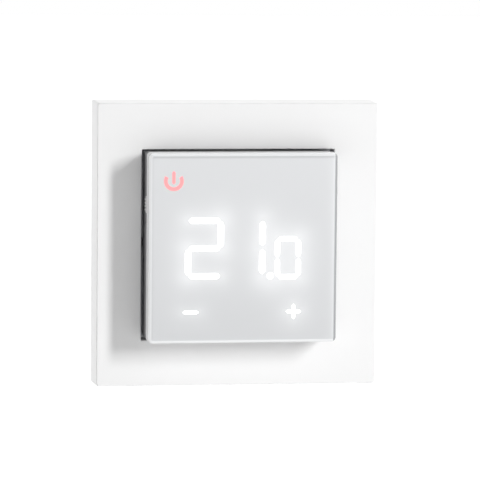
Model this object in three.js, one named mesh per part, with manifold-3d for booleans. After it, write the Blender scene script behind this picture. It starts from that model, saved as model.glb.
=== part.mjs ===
// Wall thermostat with a square cover frame, a glass-fronted touch module and a base
// that sits in a round flush wall box.
//
// Units are millimetres. X points right as seen from the room, Z points up, and the
// front faces -Y. The wall surface is the plane y = 0 and the origin is the frame's
// centre on it, so everything with y above 0 sits inside the wall.

import * as THREE from 'three';
import { mergeVertices } from 'three/addons/utils/BufferGeometryUtils.js';
import Module from 'manifold-3d';

const wasm = await Module();
wasm.setup();

// Cover frame.
const FRAME_SIDE = 84;
const FRAME_DEPTH = 12;
const FRAME_DRAFT = 0.4;
const FRAME_EDGE = 0.4;
const FRAME_WALL = 1.6;
const FRAME_FACE = 2.4;
const OPENING_WIDTH = 57;
const OPENING_HEIGHT = 56.1;
const COLLAR_WALL = 1.3;
const COLLAR_BACK = -4.6;
const TONGUE_WIDTH = 12;
const TONGUE_DEPTH = 1.2;
const TONGUE_BACK = -0.4;

// Front module, from the glass back to the face that meets the base.
const MODULE_SIDE = 55.4;
const MODULE_FRONT = -23;
const GLASS_DEPTH = 2;
const GLASS_BEVEL = 1;
const GLASS_CORNER = 1.2;
const ADHESIVE_DEPTH = 0.2;
const BEZEL_DEPTH = 3.8;
const BEZEL_OPENING = 49;
const LIP_DEPTH = 1.2;
const MODULE_WALL = 1.4;
const MODULE_BACK = -8;
const BODY_STEP = 0.15;

// Display: light guide, board and touch springs.
const GUIDE_SIDE = 48.4;
const GUIDE_DEPTH = 4.7;
const BOARD_SIDE = 50;
const BOARD_DEPTH = 1.6;
const DIGIT_WIDTH = 11.4;
const DIGIT_HEIGHT = 18.1;
const DIGIT_STROKE = 2;
const DIGIT_CENTRES = [[-11.5, 0], [0.8, 0.2], [13.1, -2.8]];
const SMALL_DIGIT = 0.7;
const POINT_CENTRE = [7.85, -8.2];
const POINT_RADIUS = 0.8;
const POWER_KEY = [-20.6, 19.4];
const MINUS_KEY = [-15.4, -18.6];
const PLUS_KEY = [14.9, -18.6];
const SPRING_RADIUS = 2.3;
const SPRING_WIRE = 0.25;
const SPRING_TURNS = 3;
const POST_OFFSET = 22.3;

// Slide switch on the left side.
const KNOB_CENTRE_Z = 12.2;
const KNOB_HEIGHT = 5;
const KNOB_TRAVEL = 3;
const KNOB_PROUD = 0.35;
const KNOB_FRONT = -16.8;
const KNOB_BACK = -13.6;
const SHUTTER_ABOVE = 6.6;
const SHUTTER_BELOW = 7.4;
const SWITCH_HALF_HEIGHT = 5.6;

// Base: mounting plate, deck cover and rear housing.
const PLATE_SIDE = 71;
const PLATE_DEPTH = 1;
const BOX_SCREW_RADIUS = 30;
const SLOT_WIDTH = 3.8;
const SLOT_LENGTH = 9;
const HOUSING_SIDE = 48;
const HOUSING_CHAMFER = 10;
const HOUSING_WALL = 1.6;
const HOUSING_DEPTH = 22;
const FLANGE_SIDE = 51.2;
const FLANGE_CHAMFER = 11.6;
const DECK_SIDE = 53.2;
const DECK_FRONT = -7.6;
const DECK_WALL = 1.4;
const BOSS_X = 18.4;
const BOSS_Z = 15.4;
const POWER_BOARD_FRONT = 0.4;
const POWER_BOARD_BACK = 2;
const PIN_PITCH = 2.54;
const HEADER_Z = 4;
const WINDOW_HALF_HEIGHT = 3.1;
const WINDOW_HALF_WIDTH = 10.2;
const PEG_X = 22;
const PEG_Z = -4;

// Terminals: screws face the room, wires come in along Z from outside the housing.
const MAINS = {
  name: 'mains', side: -1, count: 4, pitch: 7.5, depthZ: 8.8, back: 13.4,
  cageWidth: 6.2, cageDepthZ: 6.4, cageFront: 3, cageLength: 9, cageSkin: 1.5,
  window: 4.6, screwHead: 2.3, screwShank: 1.4, barHalf: 2, throat: 4.6,
};
const SENSOR = {
  name: 'sensor', side: 1, count: 2, pitch: 5.4, depthZ: 6.6, back: 9.6,
  cageWidth: 4.2, cageDepthZ: 4.4, cageFront: 2.6, cageLength: 5.6, cageSkin: 1,
  window: 2.8, screwHead: 1.6, screwShank: 0.9, barHalf: 1.2, throat: 2.8,
};
const TERMINAL_FRONT = -5.6;
const TERMINAL_OUTER = 20.4;
const BAR_DEPTH = 0.9;
const RUN_GAP = 0.3;

// Parts on the back face of the power board, by their ranges along X and Z.
const TRANSFORMER = { x: [9, 21], z: [-9, 0], standoff: 1.2, height: 11 };
const FILTER_CAPACITOR = { x: [-20.6, -8], z: [5, 10.4], height: 11 };
const VARISTOR = { x: -3.2, z: 7.6, radius: 3.6, thickness: 2.2, legs: 1.8 };
const FUSE = { x: [2.4, 8.6], z: [4.4, 8], height: 8 };
const SMOOTHING_CAPACITOR = { x: 15.6, z: 6.6, radius: 4, height: 11.5 };
const RELAY = {
  x: [-20.6, -0.6], z: [-9.8, 3.2], height: 15.4, wall: 0.8, coilX: -13.4, coreRadius: 1.5,
  flangeRadius: 4.6, windingRadius: 4.2, limbX: -7.4, limbDepth: 1, bladeX: -6.2, postX: -2.6,
};

const FINISH = {
  whiteFrame: new THREE.MeshStandardMaterial({ color: 0xf3f3f3, roughness: 0.38, metalness: 0 }),
  whiteBezel: new THREE.MeshStandardMaterial({ color: 0xececec, roughness: 0.4, metalness: 0 }),
  glass: new THREE.MeshStandardMaterial({ color: 0xe2e3e5, roughness: 0.05, metalness: 0 }),
  greyBody: new THREE.MeshStandardMaterial({ color: 0x8d8e90, roughness: 0.5, metalness: 0 }),
  diffuser: new THREE.MeshStandardMaterial({ color: 0xf4f4f0, roughness: 0.6, metalness: 0 }),
  board: new THREE.MeshStandardMaterial({ color: 0x1f6b46, roughness: 0.45, metalness: 0 }),
  blackPlastic: new THREE.MeshStandardMaterial({ color: 0x202124, roughness: 0.5, metalness: 0 }),
  bluePlastic: new THREE.MeshStandardMaterial({ color: 0x2b5f9e, roughness: 0.5, metalness: 0 }),
  yellowPlastic: new THREE.MeshStandardMaterial({ color: 0xd8b13a, roughness: 0.5, metalness: 0 }),
  steel: new THREE.MeshStandardMaterial({ color: 0xb8babd, roughness: 0.35, metalness: 1 }),
  brass: new THREE.MeshStandardMaterial({ color: 0xc9a24b, roughness: 0.35, metalness: 1 }),
  copper: new THREE.MeshStandardMaterial({ color: 0xb6693a, roughness: 0.4, metalness: 1 }),
};

const thermostat = new THREE.Group();

// Solids and booleans.

function solid(geometry) {
  const bare = geometry.clone();
  bare.deleteAttribute('normal');
  bare.deleteAttribute('uv');
  const merged = mergeVertices(bare, 1e-4);
  return new wasm.Manifold(new wasm.Mesh({
    numProp: 3,
    vertProperties: new Float32Array(merged.attributes.position.array),
    triVerts: new Uint32Array(merged.index.array),
  }));
}

function add(name, body, material) {
  const mesh = body.getMesh();
  const geometry = new THREE.BufferGeometry();
  geometry.setAttribute('position', new THREE.BufferAttribute(new Float32Array(mesh.vertProperties), 3));
  geometry.setIndex(new THREE.BufferAttribute(new Uint32Array(mesh.triVerts), 1));
  geometry.computeVertexNormals();
  const node = new THREE.Mesh(geometry, material);
  node.name = name;
  thermostat.add(node);
}

function join(bodies) {
  return bodies.reduce((whole, body) => whole.add(body));
}

function cut(body, tools) {
  return tools.reduce((whole, tool) => whole.subtract(tool), body);
}

function block(x0, x1, y0, y1, z0, z1) {
  const geometry = new THREE.BoxGeometry(x1 - x0, y1 - y0, z1 - z0);
  geometry.translate((x0 + x1) / 2, (y0 + y1) / 2, (z0 + z1) / 2);
  return solid(geometry);
}

function slab(shape, front, back, curveSegments = 3) {
  const depth = back - front;
  const geometry = new THREE.ExtrudeGeometry(shape, { depth, bevelEnabled: false, curveSegments });
  geometry.rotateX(Math.PI / 2);
  geometry.translate(0, back, 0);
  return solid(geometry);
}

function rod(radius, front, back, x, z, sides = 16) {
  const geometry = new THREE.CylinderGeometry(radius, radius, back - front, sides);
  geometry.translate(x, (front + back) / 2, z);
  return solid(geometry);
}

// A profile of [radius, y] points, from the smallest y to the largest, turned about Y.
function turned(profile, x, z, sides = 16) {
  const points = profile.map(([radius, y]) => new THREE.Vector2(radius, y));
  const geometry = new THREE.LatheGeometry(points, sides);
  geometry.translate(x, 0, z);
  return solid(geometry);
}

function roundedSquare(side, radius, height = side) {
  const halfX = side / 2 - radius;
  const halfZ = height / 2 - radius;
  const shape = new THREE.Shape();
  shape.absarc(halfX, halfZ, radius, 0, Math.PI / 2);
  shape.absarc(-halfX, halfZ, radius, Math.PI / 2, Math.PI);
  shape.absarc(-halfX, -halfZ, radius, Math.PI, 1.5 * Math.PI);
  shape.absarc(halfX, -halfZ, radius, 1.5 * Math.PI, 2 * Math.PI);
  return shape;
}

function octagon(side, chamfer) {
  const half = side / 2;
  const flat = half - chamfer;
  const corners = [
    [half, flat], [flat, half], [-flat, half], [-half, flat],
    [-half, -flat], [-flat, -half], [flat, -half], [half, -flat],
  ];
  return new THREE.Shape(corners.map(([x, z]) => new THREE.Vector2(x, z)));
}

// A square block whose side changes evenly from its back face to its front face.
function taperedSquare(backSide, frontSide, front, back) {
  const toCorner = Math.SQRT1_2;
  const depth = back - front;
  const geometry = new THREE.CylinderGeometry(backSide * toCorner, frontSide * toCorner, depth, 4);
  geometry.rotateY(Math.PI / 4);
  geometry.translate(0, (front + back) / 2, 0);
  return solid(geometry);
}

// A screw along Y with its head towards the room and a straight slot across the head.
function slottedScrew(headFront, headDepth, headRadius, tip, shankRadius, x, z) {
  const headBack = headFront + headDepth;
  const body = turned([
    [0, headFront], [headRadius - 0.3, headFront], [headRadius, headFront + 0.3],
    [headRadius, headBack], [shankRadius, headBack], [shankRadius, tip], [0, tip],
  ], x, z);
  const slot = block(x - headRadius, x + headRadius, headFront - 1, headFront + 0.7, z - 0.35, z + 0.35);
  return body.subtract(slot);
}

// Cover frame: a thin shell with a deep collar round its opening, four tongues that
// grip the mounting plate's edges, and an open back.
function addCoverFrame() {
  const frontSide = FRAME_SIDE - 2 * FRAME_DRAFT;
  const edgeY = FRAME_EDGE - FRAME_DEPTH;
  const cavitySide = FRAME_SIDE - 2 * (FRAME_WALL + FRAME_DRAFT);
  const cavityFront = FRAME_FACE - FRAME_DEPTH;
  const shell = taperedSquare(FRAME_SIDE, frontSide, edgeY, 0)
    .add(taperedSquare(frontSide, frontSide - 2 * FRAME_EDGE, -FRAME_DEPTH, edgeY))
    .subtract(slab(roundedSquare(cavitySide, 1), cavityFront, 1));
  const collarShape = roundedSquare(OPENING_WIDTH + 2 * COLLAR_WALL, 1.5, OPENING_HEIGHT + 2 * COLLAR_WALL);
  const collar = slab(collarShape, cavityFront - 0.5, COLLAR_BACK);
  const tongueIn = PLATE_SIDE / 2 + RUN_GAP;
  const tongueOut = tongueIn + TONGUE_DEPTH;
  const tongueFront = cavityFront - 0.5;
  const half = TONGUE_WIDTH / 2;
  const tongues = [
    block(tongueIn, tongueOut, tongueFront, TONGUE_BACK, -half, half),
    block(-tongueOut, -tongueIn, tongueFront, TONGUE_BACK, -half, half),
    block(-half, half, tongueFront, TONGUE_BACK, tongueIn, tongueOut),
    block(-half, half, tongueFront, TONGUE_BACK, -tongueOut, -tongueIn),
  ];
  const opening = slab(roundedSquare(OPENING_WIDTH, 0.6, OPENING_HEIGHT), -FRAME_DEPTH - 1, 1);
  add('cover_frame', join([shell, collar, ...tongues]).subtract(opening), FINISH.whiteFrame);
}

// Glass with a bevel all round, stuck to the bezel by a thin ring of adhesive.
function addGlass() {
  const back = MODULE_FRONT + GLASS_DEPTH;
  const shape = roundedSquare(MODULE_SIDE - 2 * GLASS_BEVEL, GLASS_CORNER);
  const geometry = new THREE.ExtrudeGeometry(shape, {
    depth: GLASS_DEPTH - GLASS_BEVEL,
    bevelEnabled: true,
    bevelThickness: GLASS_BEVEL,
    bevelSize: GLASS_BEVEL,
    bevelSegments: 2,
    curveSegments: 5,
  });
  geometry.rotateX(Math.PI / 2);
  geometry.translate(0, back, 0);
  const backTrim = block(-MODULE_SIDE, MODULE_SIDE, back, back + 2 * GLASS_BEVEL, -MODULE_SIDE, MODULE_SIDE);
  add('glass_panel', solid(geometry).subtract(backTrim), FINISH.glass);

  const ring = slab(roundedSquare(MODULE_SIDE - 1.6, 1), back, back + ADHESIVE_DEPTH)
    .subtract(slab(roundedSquare(BEZEL_OPENING, 1), back - 1, back + 1));
  add('glass_adhesive', ring, FINISH.blackPlastic);

  const springHoles = [POWER_KEY, MINUS_KEY, PLUS_KEY]
    .map(([x, z]) => rod(SPRING_RADIUS + 0.6, back - 1, back + 1, x, z));
  const film = slab(roundedSquare(GUIDE_SIDE, 1), back + 0.04, back + 0.26);
  add('diffuser_film', cut(film, springHoles), FINISH.diffuser);
}

const bezelFront = MODULE_FRONT + GLASS_DEPTH + ADHESIVE_DEPTH;
const bezelBack = bezelFront + BEZEL_DEPTH;
const boardFront = bezelBack + LIP_DEPTH + 0.1;
const boardBack = boardFront + BOARD_DEPTH;

// White bezel with a locating lip that is left out beside the slide switch.
function addBezel() {
  const ring = slab(roundedSquare(MODULE_SIDE, 1), bezelFront, bezelBack);
  const lipSide = MODULE_SIDE - 2 * (BODY_STEP + MODULE_WALL + 0.2);
  const lip = slab(roundedSquare(lipSide, 0.6), bezelBack - 0.5, bezelBack + LIP_DEPTH);
  const opening = slab(roundedSquare(BEZEL_OPENING, 1), bezelFront - 1, bezelBack + 3);
  const switchGap = block(
    -lipSide, -20, bezelBack, bezelBack + 3,
    KNOB_CENTRE_Z - SHUTTER_BELOW - KNOB_TRAVEL - 0.4, KNOB_CENTRE_Z + SHUTTER_ABOVE + 0.4,
  );
  add('front_bezel', cut(ring.add(lip), [opening, switchGap]), FINISH.whiteBezel);
}

// One bar of a seven-segment digit, as the well that its light shines through.
function segmentWell(x, z, length, upright, front, back) {
  const half = length / 2;
  const stroke = DIGIT_STROKE / 2;
  const outline = [
    [-half, 0], [-half + stroke, stroke], [half - stroke, stroke],
    [half, 0], [half - stroke, -stroke], [-half + stroke, -stroke],
  ];
  const points = outline.map(([u, v]) => (upright
    ? new THREE.Vector2(x - v, z + u)
    : new THREE.Vector2(x + u, z + v)));
  return slab(new THREE.Shape(points), front, back);
}

function digitWells(centreX, centreZ, scale, front, back) {
  const halfX = scale * (DIGIT_WIDTH - DIGIT_STROKE) / 2;
  const halfZ = scale * (DIGIT_HEIGHT - DIGIT_STROKE) / 2;
  const across = 2 * halfX - 0.6;
  const along = halfZ - 0.6;
  const wells = [-1, 0, 1].map((row) => (
    segmentWell(centreX, centreZ + row * halfZ, across, false, front, back)));
  for (const side of [-1, 1]) {
    for (const half of [-0.5, 0.5]) {
      wells.push(segmentWell(centreX + side * halfX, centreZ + half * halfZ, along, true, front, back));
    }
  }
  return wells;
}

// Light guide, board, chip, room sensor, touch springs and board screws.
function addDisplay() {
  const guideFront = boardFront - GUIDE_DEPTH - 0.1;
  const guideBack = boardFront - 0.1;
  const [first, second, third] = DIGIT_CENTRES;
  const wells = [
    ...digitWells(...first, 1, guideFront - 1, guideBack + 1),
    ...digitWells(...second, 1, guideFront - 1, guideBack + 1),
    ...digitWells(...third, SMALL_DIGIT, guideFront - 1, guideBack + 1),
    rod(POINT_RADIUS, guideFront - 1, guideBack + 1, ...POINT_CENTRE),
  ];
  const springWells = [POWER_KEY, MINUS_KEY, PLUS_KEY]
    .map(([x, z]) => rod(SPRING_RADIUS + 0.6, guideFront - 1, guideBack + 1, x, z));
  const notchIn = POST_OFFSET - 2.6;
  const notches = [1, -1].map((side) => block(
    Math.min(side * notchIn, side * 30), Math.max(side * notchIn, side * 30),
    guideFront - 1, guideBack + 1,
    Math.min(side * notchIn, side * 30), Math.max(side * notchIn, side * 30),
  ));
  const guide = slab(roundedSquare(GUIDE_SIDE, 1), guideFront, guideBack);
  add('light_guide', cut(guide, [...wells, ...springWells, ...notches]), FINISH.diffuser);

  const boardScrewHoles = [1, -1]
    .map((side) => rod(1.3, boardFront - 1, boardBack + 1, side * POST_OFFSET, side * POST_OFFSET, 12));
  const switchMiddle = KNOB_CENTRE_Z - KNOB_TRAVEL / 2;
  const switchNotch = block(
    -30, -20.2, boardFront - 1, boardBack + 1,
    switchMiddle - SWITCH_HALF_HEIGHT - 0.5, switchMiddle + SWITCH_HALF_HEIGHT + 0.5,
  );
  const board = slab(roundedSquare(BOARD_SIDE, 1), boardFront, boardBack);
  add('display_board', cut(board, [...boardScrewHoles, switchNotch]), FINISH.board);

  add('controller_chip', block(-7, 3, boardBack, boardBack + 1.4, -14, -4), FINISH.blackPlastic);
  addRoomSensor();
  addTouchSpring('touch_spring_power', POWER_KEY, guideFront);
  addTouchSpring('touch_spring_minus', MINUS_KEY, guideFront);
  addTouchSpring('touch_spring_plus', PLUS_KEY, guideFront);
  [['board_screw_upper', 1], ['board_screw_lower', -1]].forEach(([name, side]) => {
    const offset = side * POST_OFFSET;
    const screw = slottedScrew(boardFront - 1.3, 1.3, 1.9, boardBack + 3.6, 0.7, offset, offset);
    add(name, screw, FINISH.steel);
  });
}

// Glass-bead thermistor on two leads, held off the board by the bottom vents.
function addRoomSensor() {
  const beadY = boardBack + 1.6;
  const bead = new THREE.SphereGeometry(1, 12, 8);
  bead.translate(8, beadY, -22.6);
  const leads = [7.6, 8.4].map((x) => block(x - 0.15, x + 0.15, beadY - 0.15, beadY + 0.15, -22.6, -18));
  const feet = [7.6, 8.4].map((x) => block(x - 0.15, x + 0.15, boardBack, beadY + 0.15, -18.3, -18));
  add('room_sensor', join([solid(bead), ...leads, ...feet]), FINISH.blackPlastic);
}

// Coil spring that carries the touch of a finger on the glass back to the board.
function addTouchSpring(name, [x, z], front) {
  class Coil extends THREE.Curve {
    getPoint(t, target = new THREE.Vector3()) {
      const angle = 2 * Math.PI * SPRING_TURNS * t;
      const start = boardFront - SPRING_WIRE;
      const end = front + SPRING_WIRE;
      return target.set(
        x + SPRING_RADIUS * Math.cos(angle),
        start + (end - start) * t,
        z + SPRING_RADIUS * Math.sin(angle),
      );
    }
  }
  const section = new THREE.Shape();
  section.absarc(0, 0, SPRING_WIRE, 0, 2 * Math.PI);
  const geometry = new THREE.ExtrudeGeometry(section, {
    steps: SPRING_TURNS * 12, extrudePath: new Coil(), curveSegments: 3, bevelEnabled: false,
  });
  add(name, solid(geometry), FINISH.steel);
}

// On and off slide switch: knob, sliding shutter behind it and the switch itself.
function addSideSwitch() {
  const wallOut = -(MODULE_SIDE / 2 - BODY_STEP);
  const wallIn = wallOut + MODULE_WALL;
  const halfKnob = KNOB_HEIGHT / 2;
  const stemFront = boardFront + 0.2;
  const stemBack = boardBack - 0.3;
  const knob = block(
    wallOut - KNOB_PROUD, wallIn - 0.1, KNOB_FRONT, KNOB_BACK,
    KNOB_CENTRE_Z - halfKnob, KNOB_CENTRE_Z + halfKnob,
  );
  const stem = block(wallIn - 0.5, -23.4, stemFront, stemBack, KNOB_CENTRE_Z - 0.8, KNOB_CENTRE_Z + 0.8);
  const finger = block(
    wallOut - KNOB_PROUD - 1, wallOut - KNOB_PROUD + 0.2, KNOB_FRONT - 1, KNOB_BACK + 1,
    KNOB_CENTRE_Z - 1.4, KNOB_CENTRE_Z + 1.4,
  );
  add('switch_knob', knob.add(stem).subtract(finger), FINISH.whiteBezel);

  const shutterX = wallIn + 0.05;
  const shutter = block(
    shutterX, shutterX + 0.5, KNOB_FRONT - 0.1, KNOB_BACK + 1.2,
    KNOB_CENTRE_Z - SHUTTER_BELOW, KNOB_CENTRE_Z + SHUTTER_ABOVE,
  );
  const stemHole = block(
    -30, -20, stemFront - 0.1, stemBack + 0.1, KNOB_CENTRE_Z - 0.9, KNOB_CENTRE_Z + 0.9,
  );
  add('switch_shutter', shutter.subtract(stemHole), FINISH.greyBody);

  const middle = KNOB_CENTRE_Z - KNOB_TRAVEL / 2;
  const body = block(
    -24.9, -20.5, boardFront, boardBack + 2.2,
    middle - SWITCH_HALF_HEIGHT, middle + SWITCH_HALF_HEIGHT,
  );
  const channel = block(-25.5, -23, boardFront - 1, stemBack + 0.2, middle - 2.8, middle + 2.8);
  add('slide_switch', body.subtract(channel), FINISH.blackPlastic);
}

// Pin header that plugs into the base, as a block with two rows of four square pins.
function headerPins(front, back, half) {
  const pins = [];
  for (const column of [-1.5, -0.5, 0.5, 1.5]) {
    for (const row of [-0.5, 0.5]) {
      const x = column * PIN_PITCH;
      const z = HEADER_Z + row * PIN_PITCH;
      pins.push(block(x - half, x + half, front, back, z - half, z + half));
    }
  }
  return pins;
}

function addHeaders() {
  const plugBody = block(-5.2, 5.2, boardBack, boardBack + 2.5, HEADER_Z - 2.6, HEADER_Z + 2.6);
  const pins = headerPins(boardBack + 2, -4.4, 0.32);
  add('pin_header', join([plugBody, ...pins]), FINISH.brass);

  const socketFront = MODULE_BACK + 0.3;
  const socketBody = block(-5.4, 5.4, socketFront, POWER_BOARD_FRONT, HEADER_Z - 2.8, HEADER_Z + 2.8);
  const holes = headerPins(socketFront - 1, -3.6, 0.55);
  add('header_socket', cut(socketBody, holes), FINISH.blackPlastic);
}

// Grey tray that holds the display board, open to the front.
function addFrontHousing() {
  const side = MODULE_SIDE - 2 * BODY_STEP;
  const innerSide = side - 2 * MODULE_WALL;
  const trayBack = MODULE_BACK - MODULE_WALL;
  const tray = slab(roundedSquare(side, 1), bezelBack, MODULE_BACK)
    .subtract(slab(roundedSquare(innerSide, 0.6), bezelBack - 1, trayBack));
  const posts = [];
  for (const signX of [-1, 1]) {
    for (const signZ of [-1, 1]) {
      posts.push(rod(2.1, boardBack, trayBack + 0.4, signX * POST_OFFSET, signZ * POST_OFFSET));
    }
  }
  const pilots = [1, -1]
    .map((sign) => rod(0.9, boardBack - 1, boardBack + 4, sign * POST_OFFSET, sign * POST_OFFSET, 12));
  const headerWindow = block(
    -WINDOW_HALF_WIDTH, WINDOW_HALF_WIDTH, trayBack - 1, MODULE_BACK + 1,
    HEADER_Z - WINDOW_HALF_HEIGHT, HEADER_Z + WINDOW_HALF_HEIGHT,
  );
  const pegHoles = [-1, 1].map((sign) => rod(1.9, trayBack - 1, MODULE_BACK + 1, sign * PEG_X, PEG_Z));
  const knobSlot = block(
    -side, -side / 2 + MODULE_WALL + 0.1, bezelBack - 1, KNOB_BACK + 0.2,
    KNOB_CENTRE_Z - KNOB_HEIGHT / 2 - KNOB_TRAVEL - 0.2, KNOB_CENTRE_Z + KNOB_HEIGHT / 2 + 0.2,
  );
  const vents = [-2, -1, 0, 1, 2].map((step) => (
    block(step * 5 - 1.8, step * 5 + 1.8, -13.4, -12.6, -side, -innerSide / 2 + 0.1)));
  add('front_housing', cut(join([tray, ...posts]), [
    ...pilots, headerWindow, ...pegHoles, knobSlot, ...vents,
  ]), FINISH.greyBody);
}

// Steel plate that the wall box screws hold, with slots on the 60 mm circle.
function addMountingPlate() {
  const plate = slab(roundedSquare(PLATE_SIDE, 4), -PLATE_DEPTH, 0);
  const opening = slab(octagon(HOUSING_SIDE + 1, HOUSING_CHAMFER), -3, 3);
  const slots = [];
  for (const sign of [-1, 1]) {
    const upright = roundedSquare(SLOT_WIDTH, SLOT_WIDTH / 2, SLOT_LENGTH);
    const level = roundedSquare(SLOT_LENGTH, SLOT_WIDTH / 2, SLOT_WIDTH);
    slots.push(slab(upright, -3, 3).translate([sign * BOX_SCREW_RADIUS, 0, 0]));
    slots.push(slab(level, -3, 3).translate([0, 0, sign * BOX_SCREW_RADIUS]));
    for (const signZ of [-1, 1]) {
      slots.push(rod(1.7, -3, 3, sign * 29.5, signZ * 29.5, 16));
    }
  }
  add('mounting_plate', cut(plate, [opening, ...slots]), FINISH.steel);

  for (const [name, sign] of [['box_screw_left', -1], ['box_screw_right', 1]]) {
    const screw = slottedScrew(-PLATE_DEPTH - 1.8, 1.8, 3.1, 16, 1.5, sign * BOX_SCREW_RADIUS, 0);
    add(name, screw, FINISH.steel);
  }
}

function terminalX(row, index) {
  return (index - (row.count - 1) / 2) * row.pitch;
}

// Range along Z that runs from a depth inside the row to its outer face.
function zRange(row, inner, outer) {
  const a = row.side * inner;
  const b = row.side * outer;
  return [Math.min(a, b), Math.max(a, b)];
}

function wireThroat(row, index, innerZ, outerZ) {
  const x = terminalX(row, index);
  const half = row.throat / 2;
  const front = row.cageFront + row.cageSkin + 0.1 + BAR_DEPTH + 0.2;
  return block(x - half, x + half, front, front + row.throat, ...zRange(row, innerZ, outerZ));
}

// Rear housing: an eight-sided tub through the plate, with a flange behind the plate.
function addRearHousing() {
  const inner = HOUSING_SIDE - 2 * HOUSING_WALL;
  const innerChamfer = HOUSING_CHAMFER - HOUSING_WALL * (2 - Math.SQRT2);
  const tub = slab(octagon(HOUSING_SIDE, HOUSING_CHAMFER), -PLATE_DEPTH, HOUSING_DEPTH);
  const flange = slab(octagon(FLANGE_SIDE, FLANGE_CHAMFER), 0.05, 2.2);
  const hollow = slab(octagon(inner, innerChamfer), -3, HOUSING_DEPTH - HOUSING_WALL);
  const bosses = [-1, 1].map((sign) => rod(2.5, -PLATE_DEPTH, 11, sign * BOSS_X, BOSS_Z));
  const pilots = [-1, 1].map((sign) => rod(1.35, -3, 9, sign * BOSS_X, BOSS_Z, 14));
  const wireHoles = [];
  for (const row of [MAINS, SENSOR]) {
    for (let index = 0; index < row.count; index += 1) {
      wireHoles.push(wireThroat(row, index, inner / 2 - 1, HOUSING_SIDE));
    }
  }
  const vents = [-2, -1, 0, 1, 2].map((step) => (
    block(step * 4 - 0.7, step * 4 + 0.7, HOUSING_DEPTH - 3, HOUSING_DEPTH + 1, -8, 8)));
  const shell = tub.add(flange).subtract(hollow);
  add('rear_housing', cut(join([shell, ...bosses]), [...pilots, ...wireHoles, ...vents]), FINISH.greyBody);
}

// Deck cover in front of the plate, with screwdriver holes, header hole and two pegs.
function addBaseCover() {
  const deckInner = DECK_FRONT + DECK_WALL;
  const shell = slab(roundedSquare(DECK_SIDE, 2), DECK_FRONT, -PLATE_DEPTH)
    .subtract(slab(roundedSquare(DECK_SIDE - 2 * DECK_WALL, 1.4), deckInner, 1));
  const tubes = [-1, 1].map((sign) => rod(3, deckInner - 0.4, -PLATE_DEPTH - 0.05, sign * BOSS_X, BOSS_Z));
  const pegs = [-1, 1].map((sign) => rod(1.6, DECK_FRONT - 3.2, DECK_FRONT + 0.4, sign * PEG_X, PEG_Z));
  const tools = [block(
    -5.7, 5.7, DECK_FRONT - 1, deckInner + 1,
    HEADER_Z - WINDOW_HALF_HEIGHT, HEADER_Z + WINDOW_HALF_HEIGHT,
  )];
  for (const sign of [-1, 1]) {
    tools.push(rod(2.4, DECK_FRONT - 1, -2.4, sign * BOSS_X, BOSS_Z));
    tools.push(rod(1.5, -3, 1, sign * BOSS_X, BOSS_Z, 14));
  }
  for (const row of [MAINS, SENSOR]) {
    for (let index = 0; index < row.count; index += 1) {
      const hole = rod(row.screwHead + 0.1, DECK_FRONT - 1, deckInner + 1, terminalX(row, index), rowZ(row));
      tools.push(hole);
    }
  }
  add('base_cover', cut(join([shell, ...tubes, ...pegs]), tools), FINISH.greyBody);

  for (const [name, sign] of [['housing_screw_left', -1], ['housing_screw_right', 1]]) {
    add(name, slottedScrew(-3.9, 1.5, 2.1, 8, 1.2, sign * BOSS_X, BOSS_Z), FINISH.steel);
  }
}

function rowZ(row) {
  return row.side * (TERMINAL_OUTER - row.depthZ / 2);
}

// A row of rising-cage terminals: block, cages, screws and contact bars.
function addTerminalRow(row) {
  const innerZ = TERMINAL_OUTER - row.depthZ;
  const centreZ = rowZ(row);
  const halfRow = (row.count * row.pitch) / 2 + 0.1;
  const rise = row.cageFront + 0.7;
  const pocketHalf = row.cageWidth / 2 + RUN_GAP;
  const pocketZ = row.cageDepthZ / 2 + RUN_GAP;
  const barFront = row.cageFront + row.cageSkin + 0.1;
  const tools = [];
  for (let index = 0; index < row.count; index += 1) {
    const x = terminalX(row, index);
    tools.push(block(
      x - pocketHalf, x + pocketHalf, row.cageFront - rise, row.cageFront + row.cageLength + RUN_GAP,
      centreZ - pocketZ, centreZ + pocketZ,
    ));
    tools.push(rod(row.screwHead + 0.25, TERMINAL_FRONT - 1, -2.4, x, centreZ));
    tools.push(rod(row.screwShank + 0.25, -3, 0, x, centreZ, 16));
    tools.push(wireThroat(row, index, TERMINAL_OUTER - row.depthZ / 2, TERMINAL_OUTER + 1));
    tools.push(block(
      x - row.barHalf - 0.15, x + row.barHalf + 0.15, barFront - 0.15, barFront + BAR_DEPTH + 0.15,
      ...zRange(row, innerZ - 1, TERMINAL_OUTER - row.depthZ / 2),
    ));
  }
  const body = block(-halfRow, halfRow, TERMINAL_FRONT, row.back, ...zRange(row, innerZ, TERMINAL_OUTER));
  add(`${row.name}_terminal_block`, cut(body, tools), FINISH.blackPlastic);

  for (let index = 0; index < row.count; index += 1) {
    addTerminal(row, index, barFront, innerZ, centreZ);
  }
}

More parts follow.
